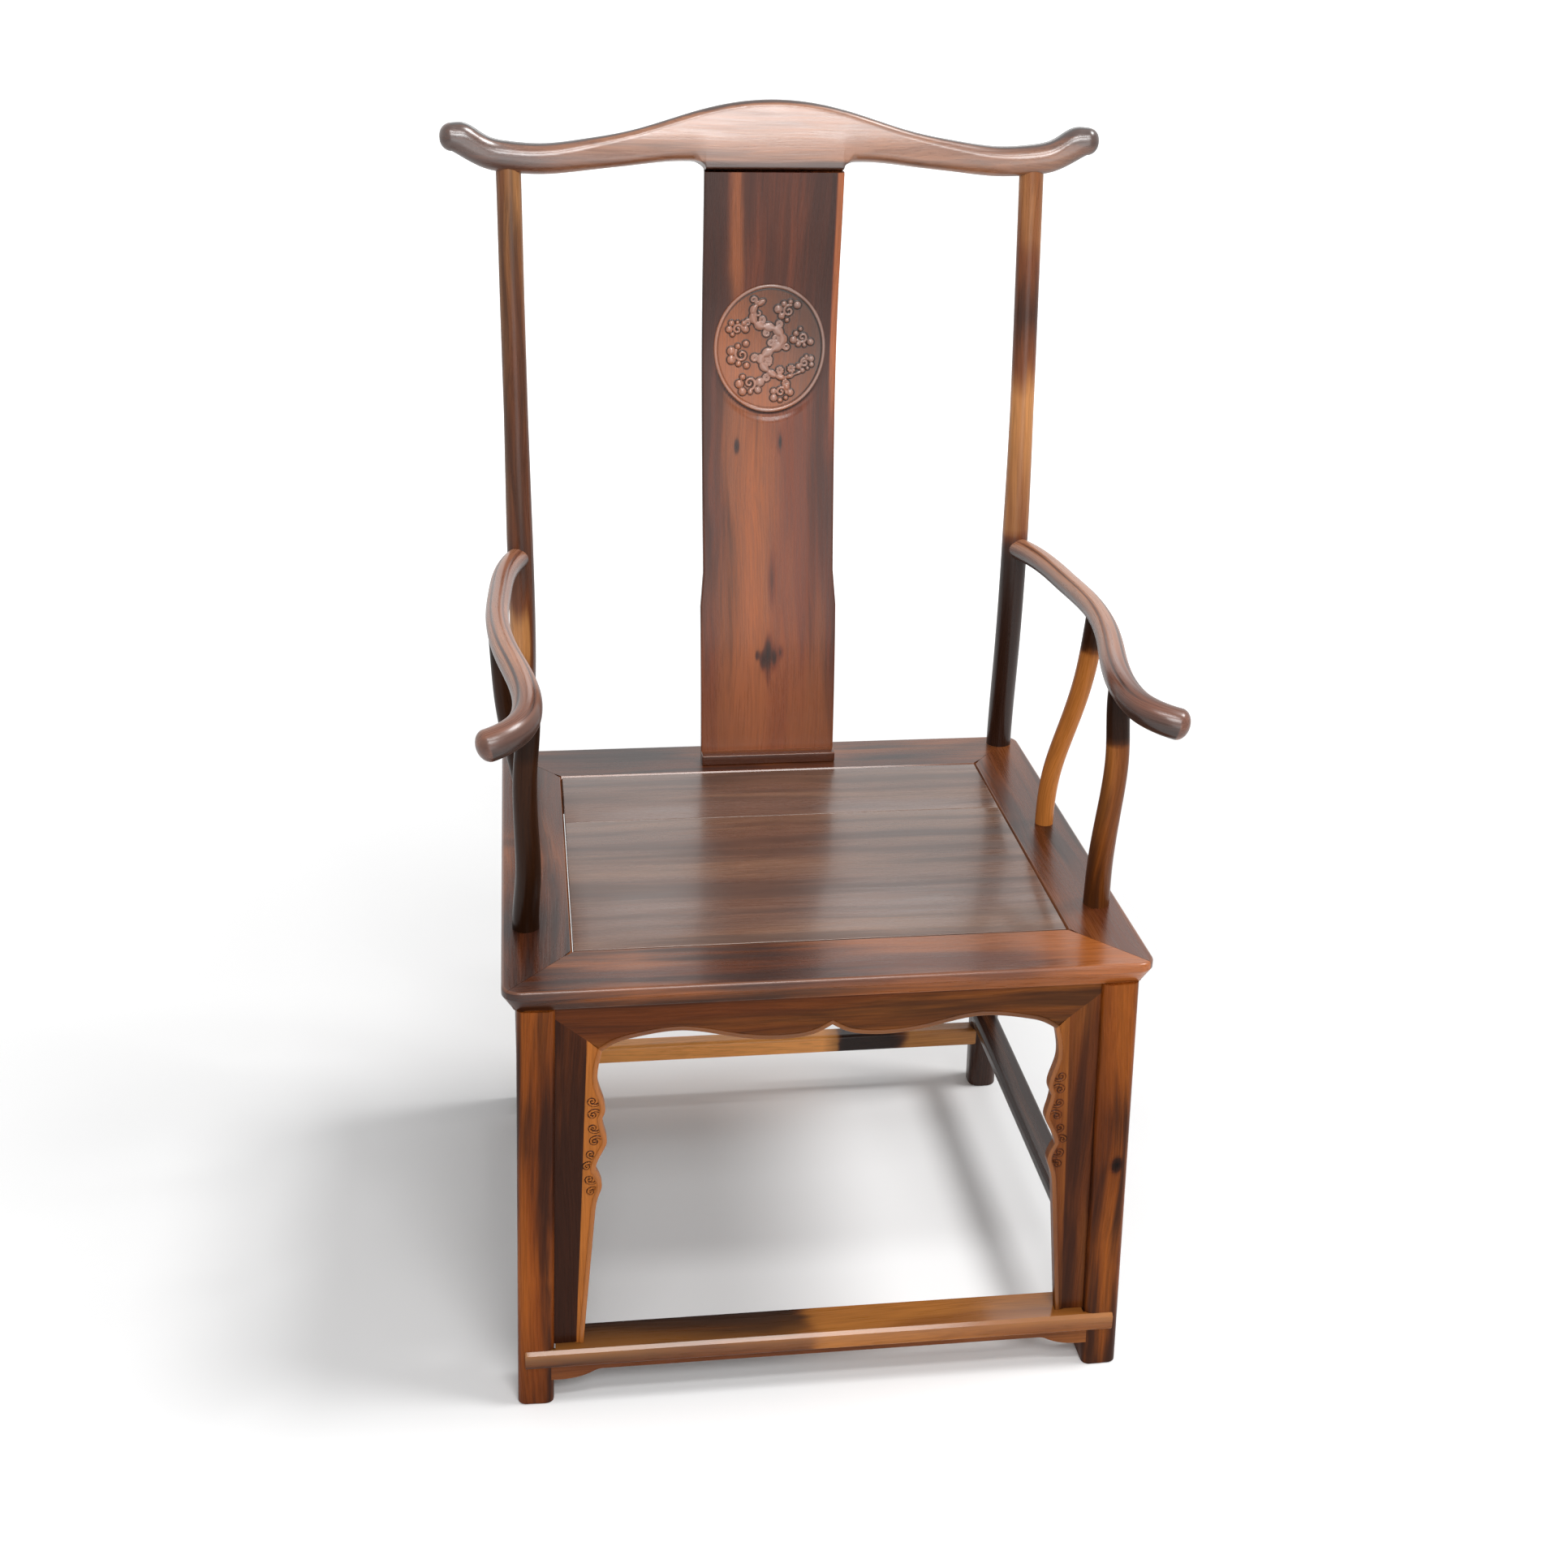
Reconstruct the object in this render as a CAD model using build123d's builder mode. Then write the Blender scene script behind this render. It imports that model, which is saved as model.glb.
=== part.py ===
from build123d import *
import os

# Official's hat armchair with four protruding ends: a rosewood chair held by mortise and tenon.
# Millimetres, +Z up. The origin is on the floor under the middle of the seat, and the chair faces -Y.
# Pieces on the +X side are called right, and each has a mirrored twin on the left.

# ---- Fits -------------------------------------------------------------------------------------
joint_fit = 0.15  # air on each side of a tenon, tongue or round peg
end_fit = 0.5  # air past the end of a tenon or peg
panel_gap = 1.0  # open line round the floating seat panel

# ---- Seat frame and panel ---------------------------------------------------------------------
seat_width = 620.0  # over the moulded edge
seat_depth = 586.0
seat_height = 475.0  # floor to the top of the frame
frame_thickness = 24.0
side_rail_width = 67.5
front_rail_width = 78.0
back_rail_width = 83.0
frame_corner_radius = 18.0
edge_round = 3.0  # upper arris of the moulded edge
edge_draw_in = 9.5  # how far the edge draws in towards its foot
edge_draw_height = 15.5
corner_tenon_thickness = 8.0
corner_tenon_width = 24.0
corner_tenon_setback = 12.0  # from the inner corner of the frame
corner_tenon_wall = 28.0  # wood left past its end
panel_thickness = 13.0
panel_tongue_height = 6.0
panel_tongue_length = 8.0
back_board_width = 128.0  # the panel is two boards, and this is the narrow one
seam_tongue = 4.0  # square tongue between the two boards
batten_spread = 170.0  # between the middles of the two battens
batten_width = 30.0
batten_tenon_width = 20.0
batten_tenon_height = 7.0
batten_tenon_length = 15.0
dovetail_depth = 3.0
dovetail_neck = 20.0
dovetail_head = 24.0

# ---- Legs -------------------------------------------------------------------------------------
front_leg_size = 36.0
front_leg_inset = 31.0  # seat edge to leg middle, sideways
front_leg_setback = 23.0  # seat edge to leg middle, front to back
front_leg_round = 8.0  # the three corners that show
front_leg_arris = 3.0  # the corner towards the middle of the chair
front_leg_splay = 13.5  # sideways, from the frame to the floor
front_leg_rake = 2.0  # forward
front_leg_tenon = 16.0  # square tenon into the frame
front_leg_tenon_height = 16.0
rear_leg_size = 35.0
rear_leg_inset = 24.5
rear_leg_setback = 21.0
rear_leg_round = 13.0
rear_leg_splay = 5.5
rear_leg_rake = 1.0

# ---- Back -------------------------------------------------------------------------------------
back_rise = 662.0  # seat to the underside of the crest rail at the posts
post_radius = 14.5
post_top_radius = 13.1
post_sway = 35.0  # the S-curve's reach towards the sitter
post_top_sway = 8.0
post_lean_in = 7.0  # how much nearer the posts stand at the top
crest_overhang = 69.0  # post middle to the crest rail's tip
crest_bow = 18.0  # the middle lies this far behind the tips
crest_end_thickness = 32.0
crest_middle_thickness = 28.0
crest_middle_height = 64.5
crest_tilt = 12.0  # degrees that the middle leans back
post_into_crest = 9.0  # how far the post's end is housed in the crest
crest_peg_radius = 9.0
crest_peg_length = 19.0
crest_tip_round = 9.0
splat_seat_width = 152.0  # flat under the crest that the splat meets
splat_seat_z = 2.0  # above the crest's underside at the posts
splat_seat_drop = 9.0
splat_width = 149.0
splat_foot_flare = 3.5  # how much wider each side is at the foot
splat_flare_height = 185.0  # seat to the lower end of the flare
splat_flare_run = 40.0
splat_thickness = 11.0
splat_tongue_thickness = 7.0
splat_tongue_length = 11.0
splat_tongue_setin = 16.0  # each end of the tongue in from the splat's edge
splat_arris = 1.5
splat_foot_height = 12.0
splat_foot_depth = 15.0
medallion_width = 124.0
medallion_height = 141.0
medallion_band = 6.0
medallion_relief = 2.0
medallion_rise = 475.0  # seat to the medallion's middle

# ---- Arms -------------------------------------------------------------------------------------
arm_rise = 256.0  # seat to the arm's axis at the post
arm_setback = 17.5  # seat edge to the arm's front tip
arm_peg_radius = 7.0
arm_peg_length = 9.0
arm_end_radius = 15.0
arm_dome = 11.0  # how far the rounded tip stands past the last full section
gooseneck_share = 0.835  # where on the arm's axis the goose-neck meets it
gooseneck_foot_radius = 13.3
gooseneck_radius = 11.6
gooseneck_top_radius = 10.9
gooseneck_drift = (-9.5, -45.0)  # how far its top stands from its foot, sideways and front to back
side_post_share = 0.494
side_post_radius = 9.9
side_post_top_radius = 10.7
side_post_drift = (21.0, -62.0)
post_peg_radius = 7.0
post_peg_length = 15.0
top_peg_radius = 6.0
top_peg_start = 18.0  # below the arm's axis, inside the post
top_peg_length = 21.0

# ---- Front apron ------------------------------------------------------------------------------
apron_thickness = 9.0
apron_setback = 12.0  # seat edge to the face of the bead
bead_width = 5.0
bead_height = 2.0
mitre_drop = 13.0  # frame to the outer end of the mitre
arch_drop = 49.0  # frame to the inner end of the mitre
stile_top_width = 44.0
stile_foot_width = 29.5
cusp_rise = 16.5  # the middle cusp above the ends of the arch
apron_tongue_thickness = 5.0
apron_tongue_length = 4.0

# ---- Plain aprons -----------------------------------------------------------------------------
plain_apron_height = 38.0
plain_apron_thickness = 12.0
plain_apron_bracket = 14.0  # how far the ends drop below the middle
plain_apron_bracket_length = 46.0
plain_apron_inset = 34.0  # seat edge to the side apron's middle
plain_apron_setback = 21.0  # seat edge to the back apron's middle

# ---- Foot rail and stretchers -----------------------------------------------------------------
foot_rail_height = 65.5  # floor to its top
foot_rail_thickness = 20.0
foot_rail_width = 43.0
foot_rail_lap = 29.0  # how far its lip runs across the face of each leg
foot_rail_lip = 8.0
foot_rail_nose = 4.0
foot_apron_height = 7.5
foot_apron_thickness = 10.0
foot_apron_setback = 5.0
foot_apron_bracket = 10.0
foot_apron_bracket_length = 50.0
side_stretcher_height = 108.0
side_stretcher_thickness = 17.0
side_stretcher_width = 31.0
side_stretcher_skew = 2.5  # its back end stands in from the leg's middle
back_stretcher_height = 84.0
back_stretcher_thickness = 24.0
back_stretcher_width = 23.0
back_stretcher_setin = 3.5  # nearer the sitter than the legs' middles
stretcher_round = 5.0
stretcher_tenon_thickness = 9.0
stretcher_tenon_width = 18.0
stretcher_tenon_length = 13.0

# ---- Places that follow from the sizes --------------------------------------------------------
half_width = seat_width / 2
half_depth = seat_depth / 2
frame_bottom = seat_height - frame_thickness
opening_right = half_width - side_rail_width
opening_front = -half_depth + front_rail_width
opening_back = half_depth - back_rail_width
panel_bottom = seat_height - panel_thickness
post_x = half_width - rear_leg_inset
post_y = half_depth - rear_leg_setback
crest_underside = seat_height + back_rise
post_top_x = post_x - post_lean_in
post_top_y = post_y - post_top_sway
crest_half_length = post_top_x + crest_overhang
crest_middle_y = post_top_y + crest_bow * (post_top_x / crest_half_length) ** 2
apron_face = -half_depth + apron_setback
foot_rail_bottom = foot_rail_height - foot_rail_thickness


def front_leg_centre(height):
    """Middle of the right front leg at a height: it splays to the side and a little forward."""
    share = 1 - height / frame_bottom
    x = half_width - front_leg_inset + front_leg_splay * share
    y = -half_depth + front_leg_setback - front_leg_rake * share
    return x, y


def rear_leg_centre(height):
    """Middle of the right back leg at a height below the frame."""
    share = 1 - height / frame_bottom
    return post_x + rear_leg_splay * share, post_y + rear_leg_rake * share


def leg_inner_face(height):
    """Sideways place of the right front leg's inner face at a height."""
    return front_leg_centre(height)[0] - front_leg_size / 2


def block(low, high, mode=Mode.ADD):
    """Adds or cuts a square-edged block between two opposite corners."""
    size = [top - bottom for bottom, top in zip(low, high)]
    middle = [(top + bottom) / 2 for bottom, top in zip(low, high)]
    with Locations(tuple(middle)):
        Box(*size, mode=mode)


def mortise(low, high):
    """Cuts the hole that a tenon between the two corners slides into, with air on every side."""
    block([v - joint_fit for v in low], [v + joint_fit for v in high], Mode.SUBTRACT)


def peg(foot, direction, radius, length, mode=Mode.ADD):
    """Adds or cuts a round peg that starts at its foot and runs in a direction."""
    with BuildSketch(Plane(foot, z_dir=direction)) as section:
        Circle(radius)
    extrude(section.sketch, amount=length, mode=mode)


def socket(foot, direction, radius, length):
    """Cuts the round hole for a peg, with air round it and past its end."""
    peg(foot, direction, radius + joint_fit, length + end_fit, Mode.SUBTRACT)


def dome(foot, direction, radius, height):
    """Adds a half ellipsoid on a flat round end, as its rounded tip, with a tiny flat at its pole."""
    with BuildSketch(Plane(foot, x_dir=direction, z_dir=direction.cross(Vector(0, 0, 1)))) as half:
        Ellipse(height / 0.99, radius)
        Rectangle(height, radius, align=(Align.MIN, Align.MIN), mode=Mode.INTERSECT)
    revolve(half.sketch, axis=Axis(foot, direction))


def round_bar(axis, radii, upright, count=13):
    """Adds a round bar along a curved axis, lofted through evenly spaced circles.

    The radii are (share of the axis, radius) pairs, with a straight taper between two of them.
    The upright direction keeps the circles from twisting about the axis."""
    sections = []
    for step in range(count):
        share = step / (count - 1)
        place = max(n for n, (start, _) in enumerate(radii[:-1]) if start <= share)
        (start, first), (end, last) = radii[place : place + 2]
        radius = first + (last - first) * (share - start) / (end - start)
        with BuildSketch(Plane(axis @ share, x_dir=upright, z_dir=axis % share)) as ring:
            Circle(radius)
        sections.append(ring.sketch.face())
    loft(sections)


# ---- Seat frame -------------------------------------------------------------------------------
# The ring is moulded round its edge and grooved for the panel, then parted at the four mitres.
with BuildPart() as seat_ring:
    with BuildSketch(Plane.XY.offset(frame_bottom)):
        RectangleRounded(seat_width, seat_depth, frame_corner_radius)
        with Locations((0, (opening_front + opening_back) / 2)):
            Rectangle(2 * opening_right, opening_back - opening_front, mode=Mode.SUBTRACT)
    extrude(amount=frame_thickness)
    underside = seat_ring.faces().sort_by(Axis.Z)[0]
    chamfer(
        underside.outer_wire().edges(),
        length=edge_draw_in,
        length2=edge_draw_height,
        reference=underside,
    )
    fillet(seat_ring.faces().sort_by(Axis.Z)[-1].outer_wire().edges(), edge_round)
    groove_reach = panel_tongue_length + end_fit
    block(
        (-opening_right - groove_reach, opening_front - groove_reach, panel_bottom - joint_fit),
        (
            opening_right + groove_reach,
            opening_back + groove_reach,
            panel_bottom + panel_tongue_height + joint_fit,
        ),
        Mode.SUBTRACT,
    )

corner_tenon_low = frame_bottom + (frame_thickness - corner_tenon_thickness) / 2
corner_tenon_high = corner_tenon_low + corner_tenon_thickness
corner_tenon_tip = half_width - corner_tenon_wall
front_tenon_span = (
    opening_front - corner_tenon_setback - corner_tenon_width,
    opening_front - corner_tenon_setback,
)
back_tenon_span = (
    opening_back + corner_tenon_setback,
    opening_back + corner_tenon_setback + corner_tenon_width,
)
batten_tenon_low = frame_bottom + end_fit + 1.5
batten_middle = batten_spread / 2


def batten_tenon(side, inner_edge, outward):
    """Corners of a batten's tenon: side is -1 or 1, and outward the way it enters its rail."""
    x = side * batten_middle
    ends = sorted((inner_edge - outward * panel_gap, inner_edge + outward * batten_tenon_length))
    low = (x - batten_tenon_width / 2, ends[0], batten_tenon_low)
    high = (x + batten_tenon_width / 2, ends[1], batten_tenon_low + batten_tenon_height)
    return low, high


apron_tongue_front = apron_face + bead_height + (apron_thickness - apron_tongue_thickness) / 2
apron_tongue_back = apron_tongue_front + apron_tongue_thickness
head_tongue = (
    (-opening_right, apron_tongue_front, frame_bottom - apron_tongue_length),
    (opening_right, apron_tongue_back, frame_bottom + apron_tongue_length),
)
leg_tenon_x, leg_tenon_y = front_leg_centre(frame_bottom)
leg_tenon = (
    (leg_tenon_x - front_leg_tenon / 2, leg_tenon_y - front_leg_tenon / 2, frame_bottom - 1),
    (
        leg_tenon_x + front_leg_tenon / 2,
        leg_tenon_y + front_leg_tenon / 2,
        frame_bottom + front_leg_tenon_height,
    ),
)


def mirrored(corners):
    """The same block on the other side of the chair."""
    low, high = corners
    return (-high[0], low[1], low[2]), (-low[0], high[1], high[2])


def cross_rail(outer_edge, inner_edge, tenon_span):
    """The front or back rail: its part of the ring between two mitres, with the corner tenons."""
    with BuildPart() as rail:
        add(seat_ring.part)
        with BuildSketch(Plane.XY.offset(frame_bottom)) as part_of_ring:
            Polygon(
                (-half_width, outer_edge),
                (half_width, outer_edge),
                (opening_right, inner_edge),
                (-opening_right, inner_edge),
                align=None,
            )
        extrude(part_of_ring.sketch, amount=frame_thickness, mode=Mode.INTERSECT)
        block(
            (-corner_tenon_tip, tenon_span[0], corner_tenon_low),
            (corner_tenon_tip, tenon_span[1], corner_tenon_high),
        )
        outward = 1 if outer_edge > 0 else -1
        for side in (-1, 1):
            mortise(*batten_tenon(side, inner_edge, outward))
    return rail


# Solids of the legs before their mortises, which the pieces that meet them are coped to.
with BuildPart() as front_leg_body:
    for height in (0, frame_bottom):
        with BuildSketch(Plane.XY.offset(height)):
            with Locations(front_leg_centre(height)):
                Rectangle(front_leg_size, front_leg_size)
            inner_corner = vertices().group_by(Axis.Y)[-1].sort_by(Axis.X)[0]
            shown_corners = [v for v in vertices() if v != inner_corner]
            fillet(shown_corners, front_leg_round)
            fillet(inner_corner, front_leg_arris)
    loft()

post_heights = (0, 0.19, 0.415, 0.64, 0.82, 1)  # shares of the post above the seat
post_sways = (0, 0.74, 1, 0.83, 0.52, post_top_sway / post_sway)
post_leans = (0, 0.6, 0.78, 0.86, 0.9, 1)
post_line = [
    (
        post_x - post_lean_in * lean,
        post_y - post_sway * sway,
        seat_height + back_rise * share,
    )
    for share, sway, lean in zip(post_heights, post_sways, post_leans)
]
with BuildLine() as post_axis:
    Spline(*post_line, tangents=((0, 0, 1), (0, 0.12, 1)))
    Line(post_axis.edge() @ 1, post_axis.edge() @ 1 + (post_axis.edge() % 1) * post_into_crest)

with BuildPart() as rear_leg_body:
    for height in (0, frame_bottom):
        with BuildSketch(Plane.XY.offset(height)):
            with Locations(rear_leg_centre(height)):
                RectangleRounded(rear_leg_size, rear_leg_size, rear_leg_round)
    loft()

with BuildPart() as post_body:
    post_radii = ((0, post_radius), (0.42, post_radius), (0.62, post_top_radius), (1, post_top_radius))
    round_bar(post_axis.edges()[0], post_radii, (1, 0, 0), 9)
    post_top = post_axis.edges()[1] @ 0
    post_direction = post_axis.edges()[1] % 0
    peg(post_top, post_direction, post_top_radius, post_into_crest)

# ---- Crest rail -------------------------------------------------------------------------------
# Sections across the yoke: share of the half length, underside and top above the posts' tops,
# and how much of the middle's lean and of its thinness the section has.
crest_sections = (
    (0.0, 10.0, crest_middle_height + 9.2, 1.0),
    (0.18, 10.5, crest_middle_height + 2.4, 1.0),
    (0.32, 11.0, 53.8, 0.9),
    (0.45, 6.5, 41.4, 0.65),
    (0.59, 1.5, 33.3, 0.35),
    (0.73, -2.2, 28.5, 0.1),
    (0.83, -0.5, 31.0, 0.0),
    (0.90, 3.5, 37.5, 0.0),
    (0.955, 12.0, 48.5, 0.0),
    (1.0, 21.0, 49.0, 0.0),
)


def crest_section(share, low, high, middleness):
    """One rounded section across the crest rail, at a signed share of its half length."""
    thickness = crest_end_thickness
    thickness += (crest_middle_thickness - crest_end_thickness) * middleness
    y = crest_middle_y - crest_bow * share**2
    with BuildSketch(Plane.YZ.offset(share * crest_half_length)) as section:
        with Locations(Location((y, crest_underside + (low + high) / 2), crest_tilt * middleness * -1)):
            RectangleRounded(thickness, high - low, 0.48 * min(thickness, high - low))
    return section.sketch.face()


with BuildPart() as crest_body:
    sides = [(-share, *rest) for share, *rest in crest_sections[:0:-1]] + list(crest_sections)
    loft([crest_section(*station) for station in sides])
    fillet(crest_body.faces().filter_by(Axis.X).edges(), crest_tip_round)
    # The flat seat for the splat drops below the arch of the underside, with hollowed shoulders.
    with BuildSketch(Plane.XZ.offset(-crest_middle_y + crest_middle_thickness / 2 - 1)) as splat_seat:
        with BuildLine():
            low = crest_underside + splat_seat_z
            high = low + splat_seat_drop + 3
            inner = splat_seat_width / 2
            outer = inner + 16
            Polyline((0, high), (0, low), (inner, low))
            ThreePointArc((inner, low), (inner + 4, high - 6), (outer, high))
            Line((outer, high), (0, high))
        make_face()
        mirror(about=Plane.YZ)
    extrude(splat_seat.sketch, amount=-(crest_middle_thickness - 6))

# ---- Back splat -------------------------------------------------------------------------------
# Side view of the splat's face: height above the seat as a share of the whole, and how far
# behind the face at the foot it lies.
splat_curve = ((0, 0), (0.19, 4), (0.37, 18), (0.54, 31), (0.70, 36.5), (0.81, 31.5), (0.91, 21), (1, 13))
splat_bottom_y = post_y - 28.0  # face at the foot
splat_top = crest_underside + splat_seat_z
splat_height = splat_top - seat_height
splat_foot_width = splat_width + 2 * splat_foot_flare


def splat_slab(front, back):
    """A curved slab with the splat's side view, between two depths behind its face."""
    face_line = [(splat_bottom_y + sway, seat_height + share * splat_height) for share, sway in splat_curve]
    with BuildSketch(Plane.YZ) as side_view:
        with BuildLine():
            near = Spline(*[(y + front, z) for y, z in face_line])
            far = Spline(*[(y + back, z) for y, z in face_line])
            Line(near @ 0, far @ 0)
            Line(near @ 1, far @ 1)
        make_face()
    return side_view.sketch


with BuildPart() as medallion:
    # A raised oval band, on a ground sunk as deep as the band stands proud.
    extrude(splat_slab(-medallion_relief, splat_thickness / 2), amount=splat_width / 2, both=True)
    with BuildSketch(Plane.XZ) as oval:
        with Locations((0, seat_height + medallion_rise)):
            Ellipse(medallion_width / 2, medallion_height / 2)
            Ellipse(
                medallion_width / 2 - medallion_band,
                medallion_height / 2 - medallion_band,
                mode=Mode.SUBTRACT,
            )
    extrude(oval.sketch, amount=half_depth, both=True, mode=Mode.INTERSECT)

with BuildPart() as back_splat:
    extrude(splat_slab(0, splat_thickness), amount=splat_foot_width / 2, both=True)
    with BuildSketch(Plane.XZ) as outline:
        flare_z = seat_height + splat_flare_height
        with BuildLine():
            Polyline((0, seat_height), (splat_foot_width / 2, seat_height), (splat_foot_width / 2, flare_z))
            Line((splat_foot_width / 2, flare_z), (splat_width / 2, flare_z + splat_flare_run))
            Polyline(
                (splat_width / 2, flare_z + splat_flare_run),
                (splat_width / 2, splat_top),
                (0, splat_top),
            )
            Line((0, splat_top), (0, seat_height))
        make_face()
        mirror(about=Plane.YZ)
    extrude(outline.sketch, amount=half_depth, both=True, mode=Mode.INTERSECT)
    long_arrises = back_splat.edges().filter_by(lambda e: abs(e.center().X) > splat_width / 2 - 1)
    chamfer(long_arrises.filter_by(lambda e: e.length > splat_thickness * 2.5), splat_arris)
    add(medallion.part)
    # The foot is left thicker in front, as a ledge that hides the joint with the frame.
    block(
        (-splat_foot_width / 2, splat_bottom_y - splat_foot_depth, seat_height),
        (splat_foot_width / 2, splat_bottom_y + 3, seat_height + splat_foot_height),
    )
    tongue_end = splat_width / 2 - splat_tongue_setin
    tongue_in = (splat_thickness - splat_tongue_thickness) / 2
    lower_tongue = (
        (-tongue_end, splat_bottom_y + tongue_in, seat_height - splat_tongue_length),
        (tongue_end, splat_bottom_y + tongue_in + splat_tongue_thickness, seat_height + 1),
    )
    block(*lower_tongue)
    splat_top_y = splat_bottom_y + splat_curve[-1][1]
    upper_tongue = (
        (-tongue_end, splat_top_y + tongue_in, splat_top - 1),
        (tongue_end, splat_top_y + tongue_in + splat_tongue_thickness, splat_top + splat_tongue_length),
    )
    block(*upper_tongue)

# ---- Arms -------------------------------------------------------------------------------------
arm_z = seat_height + arm_rise
arm_start = post_axis.edges()[0] @ 0.39  # where the arm meets the post
arm_tip_y = -half_depth + arm_setback
arm_reach = arm_start.Y - arm_tip_y
# Along the arm: share of its reach to the front, and its swing to the side and up from the post.
arm_sweep = ((0.06, 9.8, 0.6), (0.28, 22.4, 2.3), (0.498, 23.6, 6.2), (0.66, 14.3, 4.4))
# Its hooked end keeps its own shape: distance behind the tip, and the same swing and rise.
arm_hook = ((91.2, -1.1, -0.9), (50.2, -2.8, -5.3), (19.0, 6.0, -11.0), (0.0, 42.7 - arm_dome, -18.3))
arm_curve = arm_sweep + tuple((1 - back / arm_reach, swing, rise) for back, swing, rise in arm_hook)
with BuildLine() as arm_axis:
    Spline(
        (arm_start.X, arm_start.Y, arm_z),
        *[
            (arm_start.X + swing, arm_start.Y - share * arm_reach, arm_z + rise)
            for share, swing, rise in arm_curve
        ],
        tangents=((0.4, -1, 0), (1, 0, -0.2)),
    )
arm_path = arm_axis.edge()
arm_radii = ((0, 12.2), (0.26, 12.0), (0.51, 11.5), (0.72, 13.0), (0.9, 13.7), (1, arm_end_radius))
arm_peg_foot = arm_path @ 0.03
arm_peg_direction = Vector(0, 1, 0)

with BuildPart() as arm_body:
    round_bar(arm_path, arm_radii, (0, 0, 1))
    dome(arm_path @ 1, arm_path % 1, arm_end_radius, arm_dome)
    add(post_body.part, mode=Mode.SUBTRACT)


def arm_support(drift, bends, share, foot_radius, radius, top_radius):
    """A curved post between the seat frame and the arm, with a round peg at each end.

    The drift runs from the foot to the point of the arm that it carries, and each bend is a share
    of the height with its shares of the drift. Returns the post, its foot and its axis."""
    top = arm_path @ share
    foot = Vector(top.X - drift[0], top.Y - drift[1], seat_height)
    height = top.Z - seat_height
    line = [foot + Vector(drift[0] * dx, drift[1] * dy, height * level) for level, dx, dy in bends]
    with BuildLine() as axis:
        Spline(foot, *line, top, tangents=((0, 0, 1), (0.05, -0.1, 1)))
    path = axis.edge()
    with BuildPart() as post:
        round_bar(path, ((0, foot_radius), (0.5, radius), (1, top_radius)), (1, 0, 0), 7)
        add(arm_body.part, mode=Mode.SUBTRACT)
        peg(path @ 1 - path % 1 * top_peg_start, path % 1, top_peg_radius, top_peg_length)
        peg(foot + Vector(0, 0, 1), (0, 0, -1), post_peg_radius, post_peg_length + 1)
    return post, foot, path


gooseneck_right, gooseneck_foot, gooseneck_path = arm_support(
    gooseneck_drift,
    ((0.24, 0.42, 0.333), (0.48, 0.42, 0.644), (0.72, 0.526, 0.889)),
    gooseneck_share,
    gooseneck_foot_radius,
    gooseneck_radius,
    gooseneck_top_radius,
)
side_post_right, side_post_foot, side_post_path = arm_support(
    side_post_drift,
    ((0.23, 0.095, 0.097), (0.46, 0.524, 0.355), (0.69, 0.857, 0.694)),
    side_post_share,
    side_post_radius,
    side_post_radius + 0.3,
    side_post_top_radius,
)

with BuildPart() as arm_right:
    add(arm_body.part)
    peg(arm_peg_foot, arm_peg_direction, arm_peg_radius, arm_peg_length + 12)
    for path in (gooseneck_path, side_post_path):
        socket(path @ 1 - path % 1 * top_peg_start, path % 1, top_peg_radius, top_peg_length)

# ---- Back legs with their posts ---------------------------------------------------------------
crest_peg_foot = post_top + Vector(0, 0, -5)


def crest_peg(x_side):
    """Foot of the round peg that goes up into the crest rail."""
    return Vector(x_side * crest_peg_foot.X, crest_peg_foot.Y, crest_peg_foot.Z)


def side_stretcher_block(inset, y_front, y_back):
    """Corners in plan of a strip along the side stretcher, drawn in from its edges."""
    front_x = front_leg_centre(side_stretcher_height)[0]
    back_x = rear_leg_centre(side_stretcher_height)[0] - side_stretcher_skew
    run = rear_leg_centre(side_stretcher_height)[1] - front_leg_centre(side_stretcher_height)[1]
    slope = (back_x - front_x) / run
    start = front_leg_centre(side_stretcher_height)[1]
    reach = side_stretcher_width / 2 - inset
    corners = []
    for y, sides in ((y_front, (-1, 1)), (y_back, (1, -1))):
        middle = front_x + (y - start) * slope
        corners += [(middle + side * reach, y) for side in sides]
    return corners


def pair(body):
    """A right-hand solid together with its mirrored twin."""
    with BuildPart() as both:
        add(body.part)
        mirror(body.part, about=Plane.YZ)
    return both.part


def stretcher_tenon(grow):
    """The side stretcher's two tenons as one strip through it, grown by an air gap."""
    inset = (side_stretcher_width - stretcher_tenon_width) / 2 - grow
    front = front_leg_centre(side_stretcher_height)[1] + front_leg_size / 2
    back = rear_leg_centre(side_stretcher_height)[1] - rear_leg_size / 2
    low = side_stretcher_height - (side_stretcher_thickness + stretcher_tenon_thickness) / 2 - grow
    with BuildPart() as strip:
        with BuildSketch(Plane.XY.offset(low)) as plan:
            tip = stretcher_tenon_length + grow
            Polygon(*side_stretcher_block(inset, front - tip, back + tip), align=None)
        extrude(plan.sketch, amount=stretcher_tenon_thickness + 2 * grow)
    return strip.part


back_stretcher_middle = (
    rear_leg_centre(back_stretcher_height)[1] - back_stretcher_setin,
    back_stretcher_height - back_stretcher_thickness / 2,
)
back_stretcher_reach = rear_leg_centre(back_stretcher_height)[0] - rear_leg_size / 2
back_stretcher_tenon = (
    (
        -back_stretcher_reach - stretcher_tenon_length,
        back_stretcher_middle[0] - stretcher_tenon_thickness / 2,
        back_stretcher_middle[1] - stretcher_tenon_width / 2,
    ),
    (
        back_stretcher_reach + stretcher_tenon_length,
        back_stretcher_middle[0] + stretcher_tenon_thickness / 2,
        back_stretcher_middle[1] + stretcher_tenon_width / 2,
    ),
)

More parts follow.
